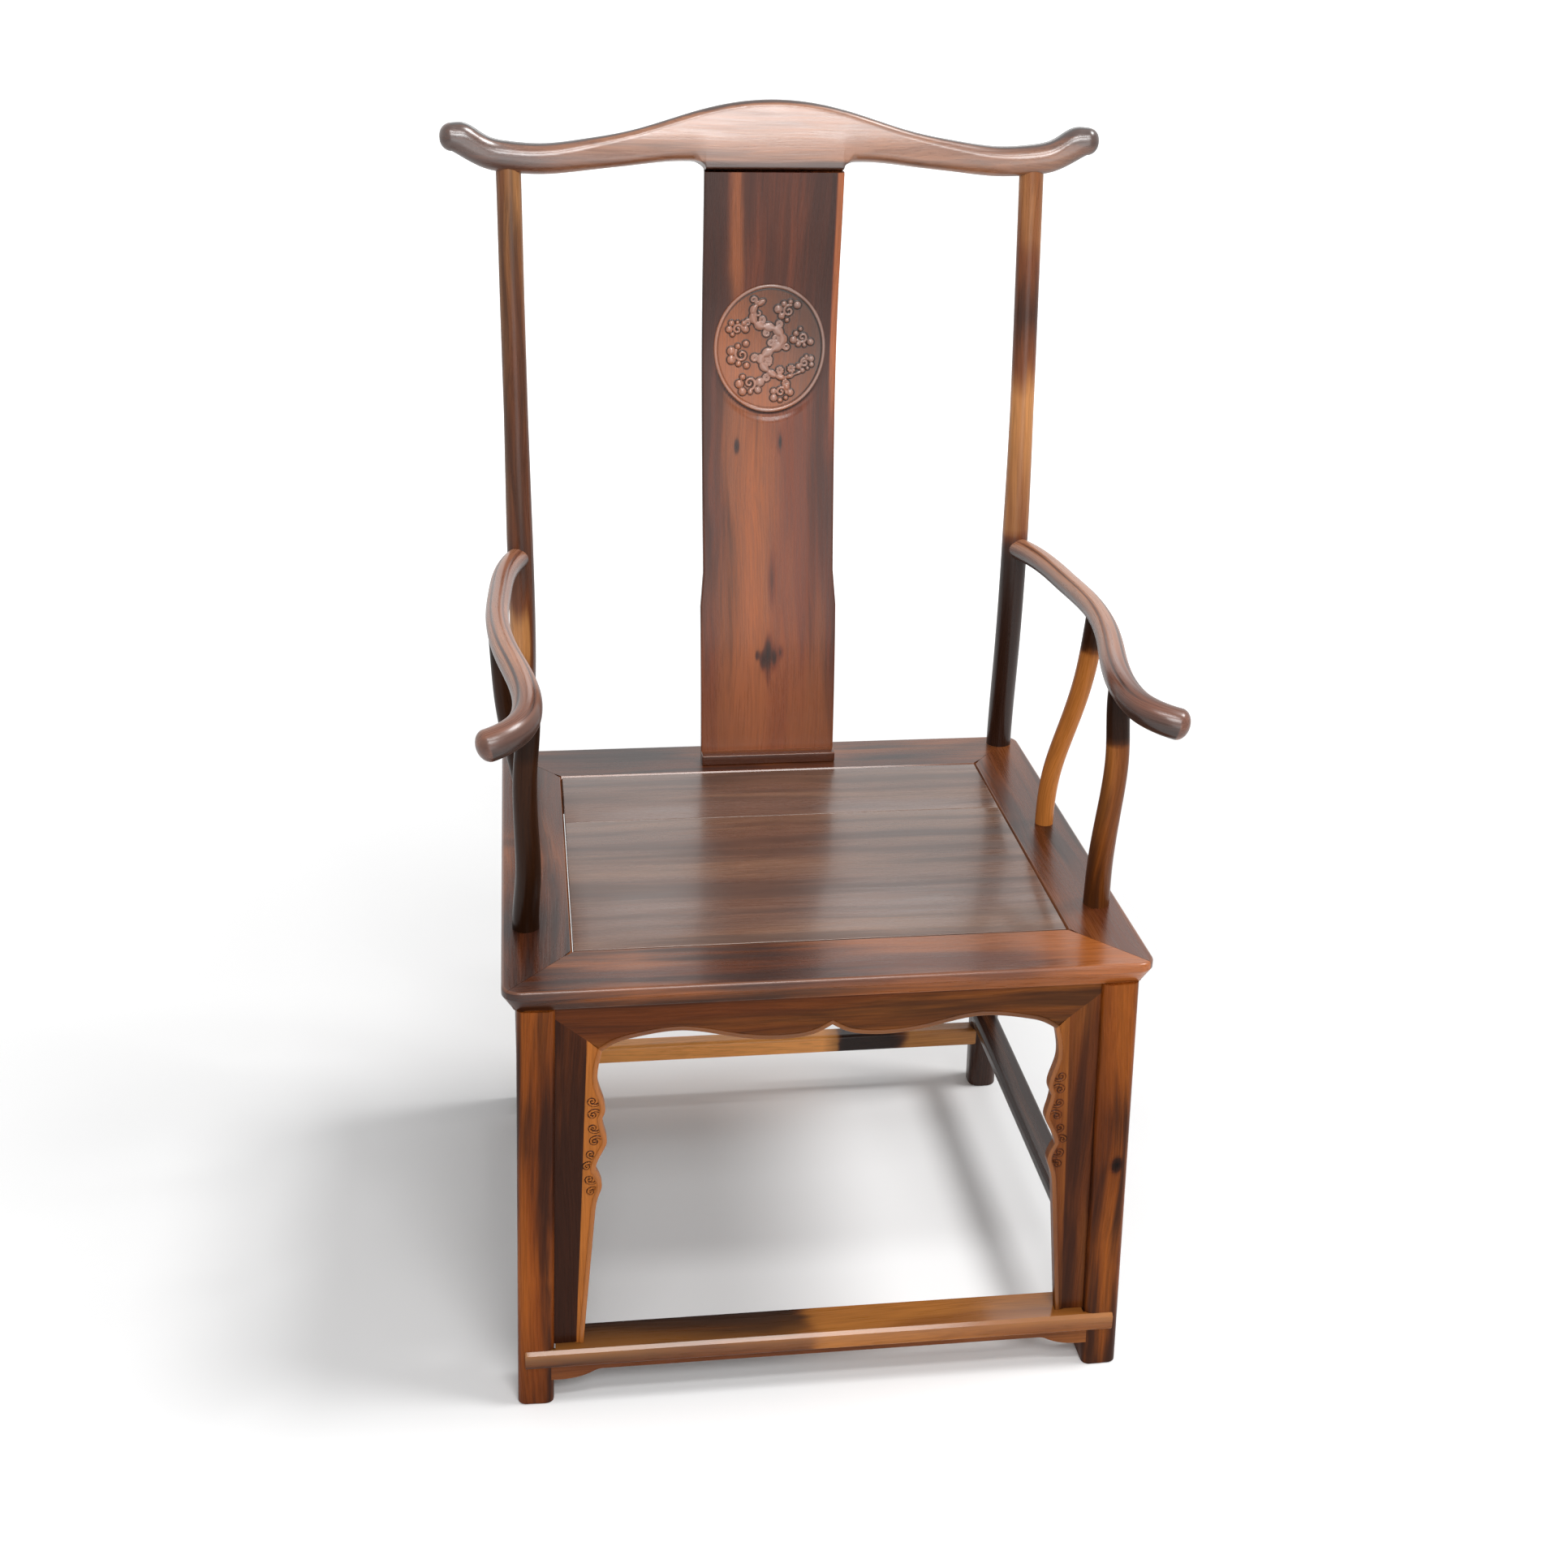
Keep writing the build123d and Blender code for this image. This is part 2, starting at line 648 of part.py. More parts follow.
with BuildPart() as rear_leg_right:
    add(rear_leg_body.part)
    peg((post_x, post_y, frame_bottom - 1), (0, 0, 1), post_radius, frame_thickness + 1)
    add(post_body.part)
    socket(arm_peg_foot, arm_peg_direction, arm_peg_radius, arm_peg_length + 12)
    add(stretcher_tenon(joint_fit), mode=Mode.SUBTRACT)
    mortise(*back_stretcher_tenon)
    peg(crest_peg(1), (0, 0, 1), crest_peg_radius, crest_peg_length + 5)

# ---- Rails of the seat frame ------------------------------------------------------------------
with BuildPart() as seat_frame_right:
    add(seat_ring.part)
    with BuildSketch(Plane.XY.offset(frame_bottom)) as part_of_ring:
        Polygon(
            (half_width, -half_depth),
            (half_width, half_depth),
            (opening_right, opening_back),
            (opening_right, opening_front),
            align=None,
        )
    extrude(part_of_ring.sketch, amount=frame_thickness, mode=Mode.INTERSECT)
    for span in (front_tenon_span, back_tenon_span):
        mortise(
            (opening_right - 1, span[0], corner_tenon_low),
            (corner_tenon_tip + end_fit, span[1], corner_tenon_high),
        )
    mortise(*leg_tenon)
    socket((post_x, post_y, frame_bottom - 1), (0, 0, 1), post_radius, frame_thickness + 2)
    for foot in (gooseneck_foot, side_post_foot):
        socket(foot + Vector(0, 0, 1), (0, 0, -1), post_peg_radius, post_peg_length + 1)

seat_frame_front = cross_rail(-half_depth, opening_front, front_tenon_span)
with seat_frame_front:
    mortise(*leg_tenon)
    mortise(*mirrored(leg_tenon))
    mortise(*head_tongue)

seat_frame_back = cross_rail(half_depth, opening_back, back_tenon_span)
with seat_frame_back:
    for side in (-1, 1):
        socket((side * post_x, post_y, frame_bottom - 1), (0, 0, 1), post_radius, frame_thickness + 2)
    mortise(*lower_tongue)

# ---- Crest rail with its sockets --------------------------------------------------------------
with BuildPart() as crest_rail:
    add(crest_body.part)
    # Each post's end is housed in the underside, and its peg goes up from there.
    add(pair(post_body), mode=Mode.SUBTRACT)
    for side in (-1, 1):
        socket(crest_peg(side), (0, 0, 1), crest_peg_radius, crest_peg_length + 5)
    mortise(*upper_tongue)
    add(back_splat.part, mode=Mode.SUBTRACT)

# ---- Seat panel -------------------------------------------------------------------------------
seam_y = opening_back - back_board_width
tongue_reach = panel_tongue_length - joint_fit
seam_low = panel_bottom + panel_tongue_height - seam_tongue / 2


def board(front, back, tongue_front, tongue_back):
    """A panel board between two edges, with the thinner tongues that run in the frame's groove."""
    side = opening_right - panel_gap
    block((-side, front, panel_bottom), (side, back, seat_height))
    side = opening_right + tongue_reach
    block((-side, tongue_front, panel_bottom), (side, tongue_back, panel_bottom + panel_tongue_height))


def dovetails(grow):
    """The dovetailed edges of both battens, grown by an air gap."""
    with BuildPart() as slots:
        with BuildSketch(Plane.XZ.offset(-opening_back + panel_gap - grow)) as section:
            for side in (-1, 1):
                with BuildLine():
                    x = side * batten_middle
                    Polyline(
                        (x - dovetail_neck / 2 - grow, panel_bottom - grow),
                        (x + dovetail_neck / 2 + grow, panel_bottom - grow),
                        (x + dovetail_head / 2 + grow, panel_bottom + dovetail_depth + grow),
                        (x - dovetail_head / 2 - grow, panel_bottom + dovetail_depth + grow),
                        close=True,
                    )
                make_face()
        extrude(section.sketch, amount=opening_back - opening_front - 2 * panel_gap + 2 * grow)
    return slots.part


with BuildPart() as seat_board_front:
    board(opening_front + panel_gap, seam_y, opening_front - tongue_reach, seam_y)
    side = opening_right - panel_gap
    block((-side, seam_y - 1, seam_low), (side, seam_y + seam_tongue, seam_low + seam_tongue))
    add(dovetails(joint_fit), mode=Mode.SUBTRACT)

with BuildPart() as seat_board_back:
    board(seam_y, opening_back - panel_gap, seam_y, opening_back + tongue_reach)
    side = opening_right
    mortise((-side, seam_y - 1, seam_low), (side, seam_y + seam_tongue, seam_low + seam_tongue))
    add(dovetails(joint_fit), mode=Mode.SUBTRACT)

with BuildPart() as seat_batten_right:
    block(
        (batten_middle - batten_width / 2, opening_front + panel_gap, frame_bottom + end_fit),
        (batten_middle + batten_width / 2, opening_back - panel_gap, panel_bottom),
    )
    add(dovetails(0))
    split_plane = Plane.YZ
    split(bisect_by=split_plane, keep=Keep.TOP)
    block(*batten_tenon(1, opening_front, -1))
    block(*batten_tenon(1, opening_back, 1))

# ---- Front apron ------------------------------------------------------------------------------
# Half of the kunmen arch: share of the half width, and height above the ends of the arch.
mitre_inner = (leg_inner_face(frame_bottom - arch_drop) - stile_top_width, frame_bottom - arch_drop)
mitre_outer = (leg_inner_face(frame_bottom - mitre_drop), frame_bottom - mitre_drop)
apron_top = (leg_inner_face(frame_bottom), frame_bottom)
arch_middle = ((0.06, 9.0), (0.165, 4.0), (0.43, 8.5), (0.65, 18.0))
arch_shoulder = ((0.86, 13.0), (0.94, 8.0))


def arch_face(lift):
    """Right half of the apron head above its arch, with the arch lifted by a distance."""
    base = mitre_inner[1] + lift
    with BuildLine() as edge:
        cusp = Spline(
            (0, base + cusp_rise),
            *[(mitre_inner[0] * share, base + rise) for share, rise in arch_middle + arch_shoulder],
            (mitre_inner[0], base),
        )
        Polyline(cusp @ 1, mitre_outer, apron_top, (0, frame_bottom), cusp @ 0)
    make_face(edge.edges())
    mirror(about=Plane.YZ)


with BuildPart() as front_apron_head:
    with BuildSketch(Plane.XZ.offset(-apron_face)) as face:
        arch_face(0)
    extrude(face.sketch, amount=-apron_thickness - bead_height)
    # The ground above the bead is cut back, which leaves the bead standing along the arch.
    with BuildSketch(Plane.XZ.offset(-apron_face)) as ground:
        arch_face(bead_width)
    extrude(ground.sketch, amount=-bead_height, mode=Mode.SUBTRACT)
    block(*head_tongue)

# The stile's inner edge in three lobes: drop below the frame, and width from the leg.
stile_lobes = (
    ((49.0, 44.0), (65.0, 41.0), (82.0, 40.3), (106.0, 46.8), (115.0, 47.8), (124.0, 45.0)),
    ((124.0, 45.0), (136.0, 47.3), (152.0, 49.6), (158.0, 47.4), (175.0, 40.2), (181.0, 39.1)),
    ((181.0, 39.1), (193.0, 44.4), (200.0, 45.7), (211.0, 42.8), (232.0, 39.4)),
)


def stile_face(widen):
    """The stile between the leg and its lobed edge, with the edge moved towards the leg by widen."""
    share = stile_top_width / stile_lobes[0][0][1]
    with BuildLine() as edge:
        for lobe in stile_lobes:
            Spline(
                *[
                    (leg_inner_face(frame_bottom - drop) - width * share + widen, frame_bottom - drop)
                    for drop, width in lobe
                ]
            )
        lobed = edge.edges()
        foot = (leg_inner_face(foot_rail_height) - stile_foot_width + widen, foot_rail_height)
        Polyline(lobed.sort_by(Axis.Y)[0] @ 1, foot, (leg_inner_face(foot_rail_height), foot_rail_height))
        Polyline(
            (leg_inner_face(foot_rail_height), foot_rail_height),
            mitre_outer,
            (mitre_inner[0] + widen, mitre_inner[1]),
        )
    make_face(edge.edges())


def stile_tongue(grow):
    """The strip along the stile's outer edge that runs in the leg's groove, grown by an air gap."""
    top = mitre_outer[1] - 10 + grow
    bottom = foot_rail_height + 8 - grow
    with BuildPart() as strip:
        with BuildSketch(Plane.XZ.offset(-apron_tongue_front + grow)) as face:
            reach = apron_tongue_length + grow
            Polygon(
                (leg_inner_face(top) - 2, top),
                (leg_inner_face(top) + reach, top),
                (leg_inner_face(bottom) + reach, bottom),
                (leg_inner_face(bottom) - 2, bottom),
                align=None,
            )
        extrude(face.sketch, amount=-apron_tongue_thickness - 2 * grow)
    return strip.part


with BuildPart() as front_apron_stile_right:
    with BuildSketch(Plane.XZ.offset(-apron_face)) as face:
        stile_face(0)
    extrude(face.sketch, amount=-apron_thickness - bead_height)
    with BuildSketch(Plane.XZ.offset(-apron_face)) as ground:
        stile_face(bead_width)
    extrude(ground.sketch, amount=-bead_height, mode=Mode.SUBTRACT)
    add(stile_tongue(0))

# ---- Plain aprons -----------------------------------------------------------------------------


def bracketed_board(length, height, bracket, bracket_length):
    """Face of a plain apron: straight below, with a bracket at each end that steps up to it."""
    with BuildLine() as edge:
        end = length / 2
        inner = end - bracket_length
        ogee = Spline(
            (end, -height - bracket),
            (end - bracket_length * 0.6, -height - bracket * 0.9),
            (end - bracket_length * 0.82, -height - bracket * 0.4),
            (inner, -height),
            tangents=((-1, 0), (-1, 0)),
        )
        Polyline(ogee @ 1, (0, -height), (0, 0), (end, 0), ogee @ 0)
    make_face(edge.edges())
    mirror(about=Plane.YZ)


side_apron_front = front_leg_centre(frame_bottom)[1]
side_apron_back = rear_leg_centre(frame_bottom)[1]
side_apron_x = half_width - plain_apron_inset
back_apron_y = half_depth - plain_apron_setback
with BuildPart() as side_apron_right:
    face_plane = Plane(
        origin=(
            side_apron_x - plain_apron_thickness / 2,
            (side_apron_front + side_apron_back) / 2,
            frame_bottom,
        ),
        x_dir=(0, 1, 0),
        z_dir=(1, 0, 0),
    )
    with BuildSketch(face_plane) as face:
        bracketed_board(
            side_apron_back - side_apron_front,
            plain_apron_height,
            plain_apron_bracket,
            plain_apron_bracket_length + front_leg_size / 2,
        )
    extrude(face.sketch, amount=plain_apron_thickness)
    add(front_leg_body.part, mode=Mode.SUBTRACT)
    add(rear_leg_body.part, mode=Mode.SUBTRACT)

with BuildPart() as back_apron:
    face_plane = Plane(
        origin=(0, back_apron_y - plain_apron_thickness / 2, frame_bottom),
        x_dir=(1, 0, 0),
        z_dir=(0, -1, 0),
    )
    with BuildSketch(face_plane) as face:
        bracketed_board(
            2 * post_x,
            plain_apron_height,
            plain_apron_bracket,
            plain_apron_bracket_length + rear_leg_size / 2,
        )
    extrude(face.sketch, amount=-plain_apron_thickness)
    add(pair(rear_leg_body), mode=Mode.SUBTRACT)

# ---- Foot rail --------------------------------------------------------------------------------
foot_inner = leg_inner_face(foot_rail_height)
foot_front = -half_depth
foot_rail_tenon_y = front_leg_centre(foot_rail_height)[1]
foot_rail_middle = foot_rail_height - foot_rail_thickness / 2
foot_rail_tenon = (
    (
        -foot_inner - stretcher_tenon_length,
        foot_rail_tenon_y - stretcher_tenon_width / 2,
        foot_rail_middle - stretcher_tenon_thickness / 2,
    ),
    (
        foot_inner + stretcher_tenon_length,
        foot_rail_tenon_y + stretcher_tenon_width / 2,
        foot_rail_middle + stretcher_tenon_thickness / 2,
    ),
)
foot_apron_front = foot_front + foot_apron_setback
foot_tongue_y = foot_apron_front + foot_apron_thickness / 2
foot_tongue = (
    (-foot_inner + 20, foot_tongue_y - 2.5, foot_rail_bottom - 2),
    (foot_inner - 20, foot_tongue_y + 2.5, foot_rail_bottom + apron_tongue_length),
)

with BuildPart() as foot_rail:
    # The rail lies between the legs, and a lip of it runs on across their faces.
    reach = foot_inner + foot_rail_lap
    block((-reach, foot_front, foot_rail_bottom), (reach, foot_front + foot_rail_lip, foot_rail_height))
    nosing = foot_rail.edges().filter_by(Axis.X).group_by(Axis.Y)[0]
    fillet(nosing, foot_rail_nose)
    block(
        (-foot_inner - 1, foot_front + foot_rail_nose, foot_rail_bottom),
        (foot_inner + 1, foot_front + foot_rail_width, foot_rail_height),
    )
    add(pair(front_leg_body), mode=Mode.SUBTRACT)
    block(*foot_rail_tenon)
    mortise(*foot_tongue)

with BuildPart() as foot_rail_apron:
    face_plane = Plane(
        origin=(0, foot_apron_front, foot_rail_bottom),
        x_dir=(1, 0, 0),
        z_dir=(0, -1, 0),
    )
    with BuildSketch(face_plane) as face:
        bracketed_board(
            2 * front_leg_centre(0)[0],
            foot_apron_height,
            foot_apron_bracket,
            foot_apron_bracket_length + front_leg_size / 2,
        )
    extrude(face.sketch, amount=-foot_apron_thickness)
    add(pair(front_leg_body), mode=Mode.SUBTRACT)
    block(*foot_tongue)

# ---- Stretchers -------------------------------------------------------------------------------
with BuildPart() as side_stretcher_right:
    with BuildSketch(Plane.XY.offset(side_stretcher_height - side_stretcher_thickness)) as plan:
        front = front_leg_centre(side_stretcher_height)[1]
        back = rear_leg_centre(side_stretcher_height)[1]
        Polygon(*side_stretcher_block(0, front, back), align=None)
    extrude(plan.sketch, amount=side_stretcher_thickness)
    long_edges = [e for e in side_stretcher_right.edges() if e.length > back - front - 1]
    fillet(long_edges, stretcher_round)
    add(front_leg_body.part, mode=Mode.SUBTRACT)
    add(rear_leg_body.part, mode=Mode.SUBTRACT)
    add(stretcher_tenon(0))

with BuildPart() as back_stretcher:
    reach = rear_leg_centre(back_stretcher_height)[0]
    with BuildSketch(Plane.YZ) as section:
        with Locations(back_stretcher_middle):
            RectangleRounded(back_stretcher_width, back_stretcher_thickness, stretcher_round)
    extrude(section.sketch, amount=reach, both=True)
    add(pair(rear_leg_body), mode=Mode.SUBTRACT)
    block(*back_stretcher_tenon)

# ---- Front legs with their mortises -----------------------------------------------------------
with BuildPart() as front_leg_right:
    add(front_leg_body.part)
    block(*leg_tenon)
    add(stile_tongue(joint_fit), mode=Mode.SUBTRACT)
    add(stretcher_tenon(joint_fit), mode=Mode.SUBTRACT)
    mortise(*foot_rail_tenon)


def twin(piece):
    """The left-hand twin of a right-hand piece."""
    with BuildPart() as other:
        mirror(piece.part, about=Plane.YZ)
    return other


# ---- The finished pieces ----------------------------------------------------------------------
single_pieces = {
    "crest_rail": crest_rail,
    "back_splat": back_splat,
    "seat_frame_front": seat_frame_front,
    "seat_frame_back": seat_frame_back,
    "seat_board_front": seat_board_front,
    "seat_board_back": seat_board_back,
    "front_apron_head": front_apron_head,
    "back_apron": back_apron,
    "foot_rail": foot_rail,
    "foot_rail_apron": foot_rail_apron,
    "back_stretcher": back_stretcher,
}
paired_pieces = {
    "rear_leg": rear_leg_right,
    "front_leg": front_leg_right,
    "gooseneck": gooseneck_right,
    "side_post": side_post_right,
    "arm": arm_right,
    "seat_frame": seat_frame_right,
    "seat_batten": seat_batten_right,
    "front_apron_stile": front_apron_stile_right,
    "side_apron": side_apron_right,
    "side_stretcher": side_stretcher_right,
}
pieces = dict(single_pieces)
for label, piece in paired_pieces.items():
    pieces[label + "_right"] = piece
    pieces[label + "_left"] = twin(piece)

os.makedirs("parts", exist_ok=True)
for label, piece in pieces.items():
    piece.part.label = label
    export_step(piece.part, f"parts/{label}.step")
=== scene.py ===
import math

import bpy
import numpy as np
from mathutils import Matrix, Vector


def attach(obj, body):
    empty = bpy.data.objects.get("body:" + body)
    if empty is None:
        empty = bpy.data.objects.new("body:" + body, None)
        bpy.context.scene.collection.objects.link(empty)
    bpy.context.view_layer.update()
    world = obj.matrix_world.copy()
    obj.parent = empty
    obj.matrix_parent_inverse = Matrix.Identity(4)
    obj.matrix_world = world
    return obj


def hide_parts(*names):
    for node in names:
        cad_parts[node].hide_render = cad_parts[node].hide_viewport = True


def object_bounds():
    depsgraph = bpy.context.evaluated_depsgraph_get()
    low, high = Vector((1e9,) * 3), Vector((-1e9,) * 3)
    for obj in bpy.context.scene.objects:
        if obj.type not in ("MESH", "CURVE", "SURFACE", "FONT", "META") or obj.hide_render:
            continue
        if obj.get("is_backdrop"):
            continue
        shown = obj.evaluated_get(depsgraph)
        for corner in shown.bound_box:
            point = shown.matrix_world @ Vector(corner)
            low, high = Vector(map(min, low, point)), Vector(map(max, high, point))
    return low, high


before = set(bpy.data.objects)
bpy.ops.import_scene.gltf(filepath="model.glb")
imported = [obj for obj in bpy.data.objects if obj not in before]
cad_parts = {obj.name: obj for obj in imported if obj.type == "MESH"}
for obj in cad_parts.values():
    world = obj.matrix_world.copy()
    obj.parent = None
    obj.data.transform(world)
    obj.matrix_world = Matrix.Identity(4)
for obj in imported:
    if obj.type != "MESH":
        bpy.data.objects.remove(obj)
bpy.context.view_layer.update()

# ---- Front legs ------------------------------
# Two solid rosewood legs that splay a little, rounded outside and nearly square towards the
# middle of the chair. Each is tenoned up into the seat frame, and the aprons are let into it.


def smooth(knots, values, at, first=None, last=None):
    """Smooth curve through values at rising knots, read at the places in at.

    Between two knots it is a cubic, the slopes are solved so that the bending agrees on both
    sides of every knot, and an end without a given slope is left unbent."""
    knots = np.asarray(knots, float)
    values = np.asarray(values, float).reshape(len(knots), -1)
    gap = np.diff(knots)[:, None]
    rise = np.diff(values, axis=0) / gap
    size = len(knots)
    inner = np.arange(1, size - 1)
    system = np.zeros((size, size))
    system[inner, inner - 1] = gap[1:, 0]
    system[inner, inner] = 2 * (gap[:-1, 0] + gap[1:, 0])
    system[inner, inner + 1] = gap[:-1, 0]
    right = np.zeros_like(values)
    right[1:-1] = 3 * (gap[1:] * rise[:-1] + gap[:-1] * rise[1:])
    system[0, :2] = (2, 1) if first is None else (1, 0)
    right[0] = 3 * rise[0] if first is None else first
    system[-1, -2:] = (1, 2) if last is None else (0, 1)
    right[-1] = 3 * rise[-1] if last is None else last
    slope = np.linalg.solve(system, right)
    at = np.clip(at, knots[0], knots[-1])
    place = np.clip(np.searchsorted(knots, at, side="right") - 1, 0, size - 2)
    s = ((at - knots[place]) / gap[place, 0])[:, None]
    return (
        (2 * s**3 - 3 * s**2 + 1) * values[place]
        + (s**3 - 2 * s**2 + s) * gap[place] * slope[place]
        + (3 * s**2 - 2 * s**3) * values[place + 1]
        + (s**3 - s**2) * gap[place] * slope[place + 1]
    )


def line_through(points, count, first=None, last=None):
    """Smooth line through points, the cubic curve above over the length of the straight runs."""
    points = np.asarray(points, float)
    run = np.r_[0, np.cumsum(np.linalg.norm(np.diff(points, axis=0), axis=1))]
    ends = [None if d is None else np.array(d, float) / np.linalg.norm(d) for d in (first, last)]
    return smooth(run, points, np.linspace(0, run[-1], count), *ends)


def swept_round(half, corner, count=48):
    """Outline of a rounded square, read along evenly turned rays from its middle.

    A ray ends on a side, or on the corner's circle where it would pass the side's end."""
    turn = (np.arange(count) + 0.5) / count * 2 * np.pi
    c, s = np.abs(np.cos(turn)), np.abs(np.sin(turn))
    half, corner = (np.asarray(v, float)[..., None] * np.ones(count) for v in (half, corner))
    flat = half - corner
    mid = c * flat + s * flat
    on_arc = mid + np.sqrt(np.maximum(mid**2 - 2 * flat**2 + corner**2, 0))
    reach = np.where(half / c * s <= flat, half / c, np.where(half / s * c <= flat, half / s, on_arc))
    return np.stack([reach * np.cos(turn), reach * np.sin(turn)], axis=-1)


def cornered(half_x, half_y, corner, steps=4, fill=(0, 0)):
    """Outline of a rectangle with a quarter circle at each corner, counted from the right upper
    one against the clock. Corner is one radius, one for each outline or four for each, and fill
    gives the points added along its sides of either direction."""
    turn = (np.arange(4)[:, None] + np.linspace(0, 1, steps + 1)) * np.pi / 2
    half_x, half_y = (np.asarray(v, float)[..., None, None] for v in (half_x, half_y))
    corner = np.asarray(corner, float)
    corner = (corner[..., None] * np.ones(4) if corner.ndim < 2 else corner)[..., None]
    x = np.array([1, -1, -1, 1])[:, None] * (half_x - corner) + corner * np.cos(turn)
    y = np.array([1, 1, -1, -1])[:, None] * (half_y - corner) + corner * np.sin(turn)
    arcs = np.stack([x, y], axis=-1)
    sides = []
    for k in range(4):
        sides.append(arcs[..., k, :, :])
        share = np.linspace(0, 1, fill[k % 2] + 2)[1:-1, None]
        start, end = arcs[..., k, -1:, :], arcs[..., (k + 1) % 4, :1, :]
        sides.append(start * (1 - share) + end * share)
    return np.concatenate(sides, axis=-2)


def carried(path, outline, upright, ease=(0.0, 0.0), domed=False):
    """Outline carried along a path: the grid of points, and the timber's own coordinates.

    Each row stands square to the path, turned so that its second axis leans to upright. At an
    end the row draws in and moves on along a quarter circle of the length in ease, and a domed
    end draws in to its middle."""
    path = np.asarray(path, float)
    outline = np.broadcast_to(outline, (len(path),) + np.shape(outline)[-2:])
    along = np.r_[0, np.cumsum(np.linalg.norm(np.diff(path, axis=0), axis=1))]
    kept = ease[0] + along / along[-1] * (along[-1] - sum(ease))
    path = np.stack([np.interp(kept, along, path[:, k]) for k in range(3)], axis=1)
    ahead = np.gradient(path, axis=0)
    ahead /= np.linalg.norm(ahead, axis=1, keepdims=True)
    side = np.cross(ahead, upright)
    side /= np.linalg.norm(side, axis=1, keepdims=True)
    rise = np.cross(side, ahead)
    grid = path[:, None] + outline[..., :1] * side[:, None] + outline[..., 1:] * rise[:, None]
    grain = np.concatenate([np.broadcast_to(kept[:, None, None], outline.shape[:2] + (1,)), outline], axis=-1)
    for end, radius in ((0, ease[0]), (-1, ease[1])):
        if not radius:
            continue
        turn = np.linspace(0, np.pi / 2, 13 if domed else 6)[1:, None, None]
        half = np.abs(outline[end]).max(axis=0)
        drawn = 0.98 if domed else radius / half
        ring = outline[end] * (1 - drawn * (1 - np.cos(turn)))
        move = radius * np.sin(turn) * (1 if end else -1)
        rows = path[end] + move * ahead[end] + ring[..., :1] * side[end] + ring[..., 1:] * rise[end]
        marks = np.concatenate([kept[end] + move + 0 * ring[..., :1], ring], axis=-1)
        grid = np.concatenate([grid, rows] if end else [rows[::-1], grid])
        grain = np.concatenate([grain, marks] if end else [marks[::-1], grain])
    return grid, grain


def added(name, data):
    """An object that holds data, linked into the scene."""
    made = bpy.data.objects.new(name, data)
    bpy.context.scene.collection.objects.link(made)
    return made


def shell(node, ending, grid, grain, material, edge=0.0, tone=0.0, crisp=38):
    """Closed skin over a grid of points, whose rows are rings along the piece, for a node.

    A point in the middle closes the first and the last ring, and the faces are turned outwards
    if the volume they enclose comes out negative. Edge marks worn arrises, a painted highlight on
    the carved oval and a sheen at the splat's foot; tone shifts the timber from dark to warm and also
    carries painted light and shade. An angle above crisp degrees stays a sharp edge."""
    rows, ring = grid.shape[:2]
    points, marks = (np.concatenate([v.reshape(-1, 3), v[[0, -1]].mean(axis=1)]) for v in (grid, grain))
    here = np.arange(rows * ring).reshape(rows, ring)
    beside = np.roll(here, -1, axis=1)
    quads = np.stack([here[:-1], beside[:-1], beside[1:], here[1:]], axis=-1).reshape(-1, 4)
    foot = np.column_stack([beside[0], here[0], np.full(ring, rows * ring)])
    head = np.column_stack([here[-1], beside[-1], np.full(ring, rows * ring + 1)])
    triangles = np.concatenate([quads[:, :3], quads[:, [0, 2, 3]], foot, head])
    p, q, r = (points[triangles[:, k]] for k in range(3))
    if (p * np.cross(q, r)).sum() < 0:
        quads, foot, head = quads[:, ::-1], foot[:, ::-1], head[:, ::-1]
    name = f"{node}_{ending}"
    mesh = bpy.data.meshes.new(name)
    mesh.from_pydata(points.tolist(), [], quads.tolist() + foot.tolist() + head.tolist())
    grain_mark = mesh.attributes.new("grain", "FLOAT_VECTOR", "POINT")
    grain_mark.data.foreach_set("vector", marks.astype(np.float32).ravel())
    for label, value in (("edge", edge), ("tone", tone)):
        value = np.broadcast_to(np.asarray(value, float), (rows, ring)).ravel()
        value = np.r_[value, value[:ring].mean(), value[-ring:].mean()]
        mesh.attributes.new(label, "FLOAT", "POINT").data.foreach_set("value", value.astype(np.float32))
    mesh.shade_smooth()
    mesh.set_sharp_from_angle(angle=math.radians(crisp))
    mesh.materials.append(material)
    piece = added(name, mesh)
    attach(piece, "root")
    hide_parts(node)
    return piece


def fed(tree, node, feeds):
    """A node with each listed input fed by a socket or set to a value."""
    for key, value in feeds.items():
        if isinstance(value, bpy.types.NodeSocket):
            tree.links.new(value, node.inputs[key])
        else:
            node.inputs[key].default_value = value
    return node


def wired(tree, kind, feeds=None, **settings):
    """A new node of a kind with its settings and what feeds it."""
    made = tree.nodes.new(kind)
    for key, value in settings.items():
        setattr(made, key, value)
    return fed(tree, made, feeds or {})


def blended(tree, mask, under, over, mode="MIX"):
    """Colour over laid on colour under by a mask."""
    feeds = {0: mask, 6: under, 7: over}
    return wired(tree, "ShaderNodeMix", feeds, data_type="RGBA", blend_type=mode).outputs[2]


def counted(tree, operation, *values):
    """One step of arithmetic on sockets or numbers."""
    return wired(tree, "ShaderNodeMath", dict(enumerate(values)), operation=operation).outputs[0]


def moved(tree, operation, *vectors):
    """One step of arithmetic on vectors."""
    return wired(tree, "ShaderNodeVectorMath", dict(enumerate(vectors)), operation=operation).outputs[0]


def spread(tree, value, low, high, floor=0.0, top=1.0):
    """A value between low and high eased out to run from floor to top."""
    feeds = {"Value": value, "From Min": low, "From Max": high, "To Min": floor, "To Max": top}
    return wired(tree, "ShaderNodeMapRange", feeds, interpolation_type="SMOOTHSTEP").outputs[0]


